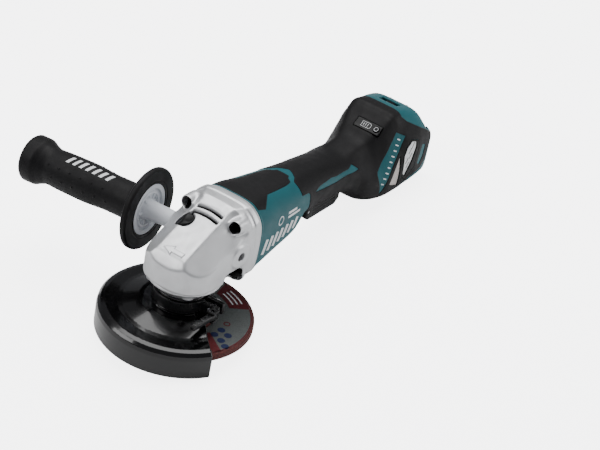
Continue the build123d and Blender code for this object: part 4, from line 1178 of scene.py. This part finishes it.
def make_side_details(side, name):
    """What is set into one side of the rear: filter, window, its rim and the strip's print."""
    y0, y1 = sorted((side * 25, side * 38.5))
    field_piece(f"filter_{name}", lambda x, y, z: filter_field(x, y, z, side),
                (248, y0, 43), (266, y1, 77), FINE, "filter_mesh",
                stands_for=(f"dust_filter_{name}",))
    field_piece(f"window_frame_{name}", lambda x, y, z: window_frame_field(x, y, z, side),
                (260, y0, 45), (290, y1, 90), FINE, "black_rubber")
    finish = PRINT_WHITE if side < 0 else MATERIALS["teal_plastic"]
    field_piece(f"window_panel_{name}", lambda x, y, z: window_panel_field(x, y, z, side),
                (261, y0, 46), (289, y1, 89), FINE, "white_plastic", finish=finish)
    if side < 0:
        strokes = [bar((x - 1.6, z - 2.6), (x + 1.6, z + 2.6), 0.9, 3) for x, z in WINDOW_STROKES]
        print_strips("window_strokes", strokes, on_body_side(side, -WINDOW_DEPTH), PAINTED_SHADE_AND_PRINT_BLACK)
    ticks = [bar(middle - TICK_REACH, middle + TICK_REACH, 1.1, 3)
             for middle in np.linspace(*TICK_ENDS, TICK_COUNT)]
    print_strips(f"strip_ticks_{name}", ticks, on_body_side(side, -CASE_INSET), PRINT_WHITE)


def make_prints():
    """The plain print on the motor housing: slanted bars on one side, a plate on the other."""
    bars = [bar((60 + 8.2 * index, 55.5 + 0.5 * index), (64.5 + 8.2 * index, 68.5), 4.4, 5)
            for index in range(7)]
    bars += [bar((96, 75.6), (116, 74.2), 2.2), bar((96, 79.4), (110, 78.4), 2.2)]
    bars.append(hoop((84.0, 77.5), 3.8, 0.9))
    print_strips("side_bars", bars, on_body_side(-1, -CASE_INSET), PRINT_WHITE)
    field_piece("name_plate", nameplate_field, (62, 12, 54), (116, 34, 84), FINE, "nameplate_print",
                stands_for=("nameplate",))
    lines = [bar((67, z), (end, z), 0.9, 10) for z, end in ((78.5, 96), (75.5, 104), (72.5, 88),
                                                              (63.0, 108), (60.5, 101), (58.0, 92))]
    lines += outline_bars([(92, 65.5), (108, 65.5), (108, 71.5), (92, 71.5)], 0.6)
    print_strips("name_plate_lines", lines, on_body_side(1, -NAMEPLATE_DEPTH), PRINT_WHITE)


def make_gauge():
    field_piece("gauge_plate", gauge_plate_field, (236, -20.5, 93), (252, 8.5, 106), FINE,
                "black_plastic", stands_for=("gauge_panel",))
    field_piece("gauge_key", gauge_button_field, (239, -18.5, 93), (249, -11.5, 104), FINE,
                "black_rubber", body="check_button", stands_for=("check_button",))
    icon = outline_bars(GAUGE_ICON, 0.28)
    icon += [bar((-1.2, across), (1.6, across), 0.4, 3) for across in (4.4, 2.4, 0.4)]
    print_strips("gauge_icon", icon, on_gauge(GAUGE_LEVEL), PRINT_WHITE)
    ring = hoop((0.0, GAUGE_BUTTON_OFFSET), 1.9, 0.3)
    print_strips("gauge_button_ring", [ring], on_gauge(GAUGE_BUTTON_TOP), PRINT_WHITE,
                 body="check_button")


# ---------------------------------------------------------------- paddle

PADDLE_SIDE = [(148, 60), (148, 46), (153, 42), (194, 42), (200.5, 47), (200.5, 60), (197, 63.5),
               (192, 63.5), (189, 60)]
PADDLE_HOLLOW = [(140, 70), (140, 40), (155.5, 40), (155.5, 46), (160, 46), (160, 57), (170, 57),
                 (170, 46), (196.5, 46), (196.5, 70)]


def paddle_field(x, y, z):
    """The switch paddle: a channel with grooves along its underside and its cheeks."""
    side = np.abs(y)
    outer = soft_max([eased_outline(x, z, PADDLE_SIDE, 0.9), side - PADDLE_HALF], 1.1)
    hollow = soft_max([outline_field(x, z, PADDLE_HOLLOW), side - 11.5], 0.3)
    paddle = cut(outer, hollow, 0.3)
    paddle = np.minimum(paddle, box_field(x, y, z, (160, -11.6, 57), (170, 11.6, 60)))
    ends = np.maximum(157.0 - x, x - 191.0)
    for middle in (0.0, 4.2, 8.4, 12.6):
        groove = np.hypot(side - middle, z - 41.6) - 1.1
        paddle = cut(paddle, soft_max([groove, ends], 0.4), 0.3)
    for height in (47.5, 51.0, 54.5):
        groove = np.hypot(side - PADDLE_HALF - 0.3, z - height) - 1.1
        paddle = cut(paddle, soft_max([groove, ends], 0.4), 0.3)
    for pivot_x, pivot_z in (PADDLE_PIVOT, LEVER_PIVOT):
        paddle = cut(paddle, np.hypot(x - pivot_x, z - pivot_z) - PIN_HOLE_RADIUS, 0.1)
    return paddle


def lock_off_field(x, y, z):
    """The lock-off lever, ribbed where the finger pulls it."""
    outline = [(150, 53.5), (154.5, 51), (144.5, 38.5), (140, 41.5)]
    blade = soft_max([eased_outline(x, z, outline, 0.6), np.abs(y) - 6.0], 0.6)
    for step in range(4):
        groove = np.hypot(x - 140.6 - 1.9 * step, z - 42.2 - 2.3 * step) - 0.75
        blade = cut(blade, groove, 0.2)
    pivot_x, pivot_z = LEVER_PIVOT
    around = np.hypot(x - pivot_x, z - pivot_z)
    lever = soft_min([blade, soft_max([around - 2.8, np.abs(y) - 10.5], 0.3)], 0.5)
    return cut(lever, around - PIN_HOLE_RADIUS, 0.1)


def make_paddle():
    field_piece("switch_paddle", paddle_field, (147.5, -16.8, 41.5), (201, 16.8, 64), FINE,
                "black_plastic", body="paddle", stands_for=("paddle",))
    field_piece("lock_off_key", lock_off_field, (139.5, -10.8, 38), (155.5, 10.8, 54.5), FINE,
                "black_plastic", body="lock_off_lever", stands_for=("lock_off_lever",))


# ---------------------------------------------------------------- side handle

CORE_PROFILE = [(4.0, 1.0), (7.0, 1.0), (7.6, 4.0), (8.2, 22.0), (9.2, 26.6), (13.4, 26.6), (13.7, 25.2),
                (15.7, 25.2), (16.0, 26.6), (18.0, 26.6), (18.4, 24.6), (22.4, 24.6), (22.4, 29.0),
                (10.0, 29.0), (10.0, 138.0), (14.4, 138.0), (14.4, 145.9), (8.0, 145.9), (8.0, 110.0),
                (4.0, 110.0)]
FLANGE_PROFILE = [(22.5, 24.2), (24.2, 24.2), (24.6, 24.7), (25.2, 24.7), (25.6, 24.2), (34.8, 24.2),
                  (35.9, 25.6), (35.9, 28.9), (34.0, 30.4), (24.0, 30.4), (22.5, 29.0)]
GRIP_HEIGHTS = [30.8, 35, 42, 60, 85, 110, 121, 128, 134, 142, 145.4]
GRIP_RADII = [18.4, 17.0, 15.8, 15.6, 16.9, 16.5, 16.0, 18.0, 20.5, 20.6, 18.8]
STUD_START = 64.0
STUD_SPACING = 10.9
STUD_ROWS = 9
STUD_TURN = math.radians(37.0)
STUD_FIRST = math.radians(144.0)
PRINT_TURN = math.radians(104.0)


def handle_axes():
    """Unit vectors along the side handle, level across it, and up across it."""
    along = np.array(SIDE_LEAN) / np.linalg.norm(SIDE_LEAN)
    across = np.array([1.0, 0.0, 0.0]) - along * along[0]
    across /= np.linalg.norm(across)
    return along, across, np.cross(across, along)


def handle_place(x, y, z):
    """A point's distance along the side handle, and its two distances across."""
    offsets = (x - SIDE_HOLE[0], y - SIDE_HOLE[1], z - SIDE_HOLE[2])
    return [sum(offset * part for offset, part in zip(offsets, axis)) for axis in handle_axes()]


def handle_core_field(x, y, z):
    """The hard core: stem, ringed disc with its ribs and holes, and the tube's end."""
    height, a, b = handle_place(x, y, z)
    radius = np.hypot(a, b)
    core = eased_outline(radius, height, CORE_PROFILE, 0.3)
    turn = math.pi / 3
    local = np.mod(np.arctan2(b, a) + turn / 2, turn) - turn / 2
    rib = soft_max([np.abs(local) * radius - 0.7, 25.0 - height, height - 27, radius - 14,
                    9 - radius], 0.2)
    core = np.minimum(core, rib)
    other = np.mod(np.arctan2(b, a), turn) - turn / 2
    hole = np.hypot(radius * np.sin(other), radius * np.cos(other) - 11.4) - 1.5
    return cut(core, soft_max([hole, 20.0 - height, height - 28.2], 0.2), 0.2)


def flange_field(x, y, z):
    height, a, b = handle_place(x, y, z)
    return eased_outline(np.hypot(a, b), height, FLANGE_PROFILE, 0.5)


def grip_studs(height, turn):
    """The rise of the small studs, in rows that run along the grip and are staggered."""
    row = np.round(np.mod(turn - STUD_FIRST, 2 * math.pi) / STUD_TURN)
    row = np.clip(row, 0, STUD_ROWS - 2)
    start = STUD_START - STUD_SPACING / 2 * np.mod(row, 2)
    place = np.clip(np.round((height - start) / STUD_SPACING), 0, 5)
    aside = np.mod(turn - STUD_FIRST - row * STUD_TURN + math.pi, 2 * math.pi) - math.pi
    distance = np.hypot(height - start - place * STUD_SPACING, aside * 16.0)
    return 0.55 * np.exp(-(distance / 1.05) ** 4)


def grip_field(x, y, z):
    """The soft grip with its studs; its end is open round the core."""
    height, a, b = handle_place(x, y, z)
    radius = np.hypot(a, b)
    wide = smooth_between(height, GRIP_HEIGHTS, GRIP_RADII)
    outer = radius - wide - grip_studs(height, np.arctan2(b, a))
    grip = soft_max([outer, 30.9 - height, height - 145.3, 10.1 - radius], 0.5)
    return cut(grip, soft_max([radius - 14.55, 137.9 - height], 0.1), 0.3)


def on_grip(height, turn, lift):
    """A place for points on the side handle's grip."""
    along, across, up = handle_axes()
    radius = smooth_between(height, GRIP_HEIGHTS, GRIP_RADII) + lift
    return (np.array(SIDE_HOLE) + height[:, None] * along
            + (radius * np.cos(turn))[:, None] * across + (radius * np.sin(turn))[:, None] * up)


def grip_bars():
    """Slanted bars across the upper side of the grip."""
    bars = []
    for index in range(7):
        height = 63.0 + 6.6 * index
        turns = np.linspace(PRINT_TURN - 0.24, PRINT_TURN + 0.24, 9)
        middle = height + (turns - PRINT_TURN) * 6.0
        bars.append((np.stack([middle - 1.5, turns], axis=1), np.stack([middle + 1.5, turns], axis=1)))
    return bars


def make_side_handle():
    field_piece("handle_core", handle_core_field, (0, 34, 42), (50, 182, 94), FINE, "white_plastic",
                stands_for=("side_handle_core",))
    field_piece("hand_guard", flange_field, (-15, 53, 31), (61, 70, 106), FINE, "black_rubber",
                stands_for=("side_handle_flange",))
    field_piece("handle_grip", grip_field, (-9, 63, 43), (42, 182, 90), FINE, "black_rubber",
                stands_for=("side_handle_grip",))
    print_strips("handle_grip_bars", grip_bars(), on_grip, PRINT_WHITE)


# ---------------------------------------------------------------- rear end

def rear_end_field(x, y, z):
    """The end that the battery slides onto, with its rails, recess and dial slot."""
    form = body_field(x, y, z) + CASE_INSET
    shell = soft_max([form, 271.8 - x, x - 313.9], 0.5)
    hollow = soft_max([form + CASE_WALL, x - 298], 0.4)
    shell = cut(shell, hollow, 0.3)
    shell = cut(shell, box_field(x, y, z, (303, -30, 43), (330, 30, 130), 0.8), 0.5)
    for side in (-1, 1):
        y0, y1 = sorted((side * 29, side * 33))
        shell = cut(shell, box_field(x, y, z, (304, y0, 43), (309, y1, 130), 0.4), 0.3)
    shell = cut(shell, box_field(x, y, z, (290, -21, 53), (310, 21, 82), 0.4), 0.3)
    dx, _, dz = DIAL_CENTRE
    shell = cut(shell, box_field(x, y, z, (dx - 4.2, -9.5, dz - 12), (dx + 4.2, 9.5, dz + 20), 0.8), 0.5)
    for side in (-1, 1):
        rib = box_field(x, y, z, (303.5, min(side * 8, side * 9.6), 84),
                        (305.5, max(side * 8, side * 9.6), 101), 0.4)
        shell = soft_min([shell, rib], 0.3)
    shell = cut(shell, window_recess(x, np.abs(y), z, 1), 0.3)
    return cut(shell, outline_solid(x, np.abs(y), z, FILTER, 1), 0.3)


def make_rear_end():
    field_piece("rear_end", rear_end_field, (271.5, -38.5, 31.5), (314.2, 38.5, 111), FINE,
                "teal_plastic", stands_for=("terminal_housing",))


# ---------------------------------------------------------------- guard

def guard_field(x, y, z):
    """The pressed guard: a half dish with a raised middle and a collar."""
    radius = np.hypot(x, y)
    line = [(COLLAR_MIDDLE, 35.2), (COLLAR_MIDDLE, 24.5), (21.6, 22.6), (23.5, 21.6), (29.5, 21.2),
            (33.0, 20.4), (46.5, 15.9), (50.5, 15.1), (60.0, 15.1), (63.2, 14.2), (65.2, 12.2),
            (65.8, 9.2), (65.8, -7.0)]
    sheet = path_distance(radius, z, line) - GUARD_SHEET / 2
    angle = math.radians(GUARD_OPENING)
    u = x * math.cos(angle) + y * math.sin(angle)
    v = y * math.cos(angle) - x * math.sin(angle)
    gap = outline_field(u, v, [(-0.5, -80), (-0.5, -62), (7.0, -34), (7.0, 34), (-0.5, 62), (-0.5, 80),
                               (90, 80), (90, -80)])
    return cut(sheet, soft_max([gap, 31.0 - radius], 1.0), 0.3)


def make_guard():
    field_piece("guard_dish", guard_field, (-67, -67, -8.2), (67, 67, 36.3), MEDIUM, "guard_paint",
                body="guard", stands_for=("guard",))


# ---------------------------------------------------------------- stage

CAMERA_EYE = Vector((-1001.94, -648.25, 843.66)) * MM
CAMERA_TARGET = Vector((181.89, 84.52, -24.81)) * MM
CAMERA_ROLL = 0.18
CAMERA_PAN = math.radians(2.4306944)       # turns the view right, so the tool stands left of the middle
CAMERA_TILT = math.radians(0.0320020)
CAMERA_LENS = 107.4228          # millimetres, on a sensor 36 mm wide
SENSOR_WIDTH = 36.0
BACKDROP_STRENGTH = 6.0
ROOM_STRENGTH = 0.28
FLOOR_GLOW = 4.5                # light added to the floor as the camera sees it
FLOOR_SLOPE = 0.156             # the tool leans on its guard and on the rear end's underside
FLOOR_DOWNHILL = (-0.891, 0.454)
FLOOR_HALF = 6.0
LIT_PLACE = (0.12, 0.0, 0.06)
LIGHTS = {                      # place and size in metres, and power in watts
    "top": ((0.35, 0.35, 1.6), (1.6, 1.2), 30),
    "left_front": ((-0.9, 0.9, 0.9), (0.7, 0.7), 10),
    "right_back": ((0.9, -1.2, 0.9), (0.9, 0.6), 9),
}


def make_camera():
    """A long lens from the front, above and to the -Y side, turned a little past its target."""
    forward = (CAMERA_TARGET - CAMERA_EYE).normalized()
    right = forward.cross(Vector((0, 0, 1))).normalized()
    up = right.cross(forward)
    level = Matrix((right, up, -forward)).transposed()
    roll = Matrix.Rotation(CAMERA_ROLL, 3, "Z")
    aim = Matrix.Rotation(-CAMERA_PAN, 3, "Y") @ Matrix.Rotation(-CAMERA_TILT, 3, "X")
    data = bpy.data.cameras.new("camera")
    data.sensor_width = SENSOR_WIDTH
    data.lens = CAMERA_LENS
    data.clip_start, data.clip_end = 0.01, 50
    camera = bpy.data.objects.new("camera", data)
    camera.matrix_world = Matrix.Translation(CAMERA_EYE) @ (level @ roll @ aim).to_4x4()
    bpy.context.scene.collection.objects.link(camera)
    bpy.context.scene.camera = camera


def make_floor():
    """A pale floor under the leaning tool; its underside is clear, so low views are open."""
    normal = Vector((FLOOR_SLOPE * FLOOR_DOWNHILL[0], FLOOR_SLOPE * FLOOR_DOWNHILL[1], 1)).normalized()
    centre = Vector((0, 0, -8.0)) * MM
    mesh = bpy.data.meshes.new("floor")
    side = normal.cross(Vector((0, 1, 0))).normalized()
    other = normal.cross(side)
    corners = [centre + side * a * FLOOR_HALF + other * b * FLOOR_HALF
               for a, b in ((-1, -1), (1, -1), (1, 1), (-1, 1))]
    mesh.from_pydata([tuple(corner) for corner in corners], [], [(0, 1, 2, 3)])
    if mesh.polygons[0].normal.dot(normal) < 0:
        mesh.flip_normals()
    floor = bpy.data.objects.new("floor", mesh)
    bpy.context.scene.collection.objects.link(floor)
    shader = Shader("floor", (0.93, 0.93, 0.935), 0.7, specular=0.1)
    shader.paint(shader.colors(shader.noise(400, 2), 0.3, (0.92, 0.92, 0.925), 0.7, (0.94, 0.94, 0.94)))
    path = shader.nodes.new("ShaderNodeLightPath")
    glow = shader.mapped(path.outputs["Is Camera Ray"], 0, 1, 0, FLOOR_GLOW)
    shader.surface.inputs["Emission Color"].default_value = (0.97, 0.97, 0.98, 1)
    shader.links.new(glow, shader.surface.inputs["Emission Strength"])
    clear = shader.nodes.new("ShaderNodeBsdfTransparent")
    choose = shader.nodes.new("ShaderNodeMixShader")
    facing = shader.nodes.new("ShaderNodeNewGeometry").outputs["Backfacing"]
    output = shader.nodes["Material Output"]
    shader.links.new(facing, choose.inputs["Fac"])
    shader.links.new(shader.surface.outputs["BSDF"], choose.inputs[1])
    shader.links.new(clear.outputs["BSDF"], choose.inputs[2])
    shader.links.new(choose.outputs["Shader"], output.inputs["Surface"])
    mesh.materials.append(shader.material)


def add_light(name, place, target, size, power):
    data = bpy.data.lights.new(name, "AREA")
    data.shape = "RECTANGLE"
    data.size, data.size_y = size
    data.energy = power
    light = bpy.data.objects.new(name, data)
    light.location = place
    direction = Vector(target) - Vector(place)
    light.rotation_euler = direction.to_track_quat("-Z", "Y").to_euler()
    bpy.context.scene.collection.objects.link(light)


def make_world():
    """A pale backdrop for the camera; a dimmer room is what lights and mirrors in the tool."""
    world = bpy.data.worlds.new("studio")
    world.use_nodes = True
    nodes, links = world.node_tree.nodes, world.node_tree.links
    backdrop = nodes["Background"]
    backdrop.inputs["Color"].default_value = (0.97, 0.97, 0.98, 1)
    backdrop.inputs["Strength"].default_value = BACKDROP_STRENGTH
    room = nodes.new("ShaderNodeBackground")
    room.inputs["Color"].default_value = (0.93, 0.95, 1.0, 1)
    room.inputs["Strength"].default_value = ROOM_STRENGTH
    choose = nodes.new("ShaderNodeMixShader")
    path = nodes.new("ShaderNodeLightPath")
    links.new(path.outputs["Is Camera Ray"], choose.inputs["Fac"])
    links.new(room.outputs["Background"], choose.inputs[1])
    links.new(backdrop.outputs["Background"], choose.inputs[2])
    links.new(choose.outputs["Shader"], nodes["World Output"].inputs["Surface"])
    bpy.context.scene.world = world


def make_lights():
    for name, (place, size, power) in LIGHTS.items():
        add_light(name, place, LIT_PLACE, size, power)


# ---------------------------------------------------------------- all of it

make_camera()
make_world()
make_lights()
make_floor()
finish_cad_nodes()
make_head()
make_neck()
make_wheel()
make_guard()
make_body()
make_prints()
make_gauge()
make_paddle()
make_side_handle()
make_rear_end()
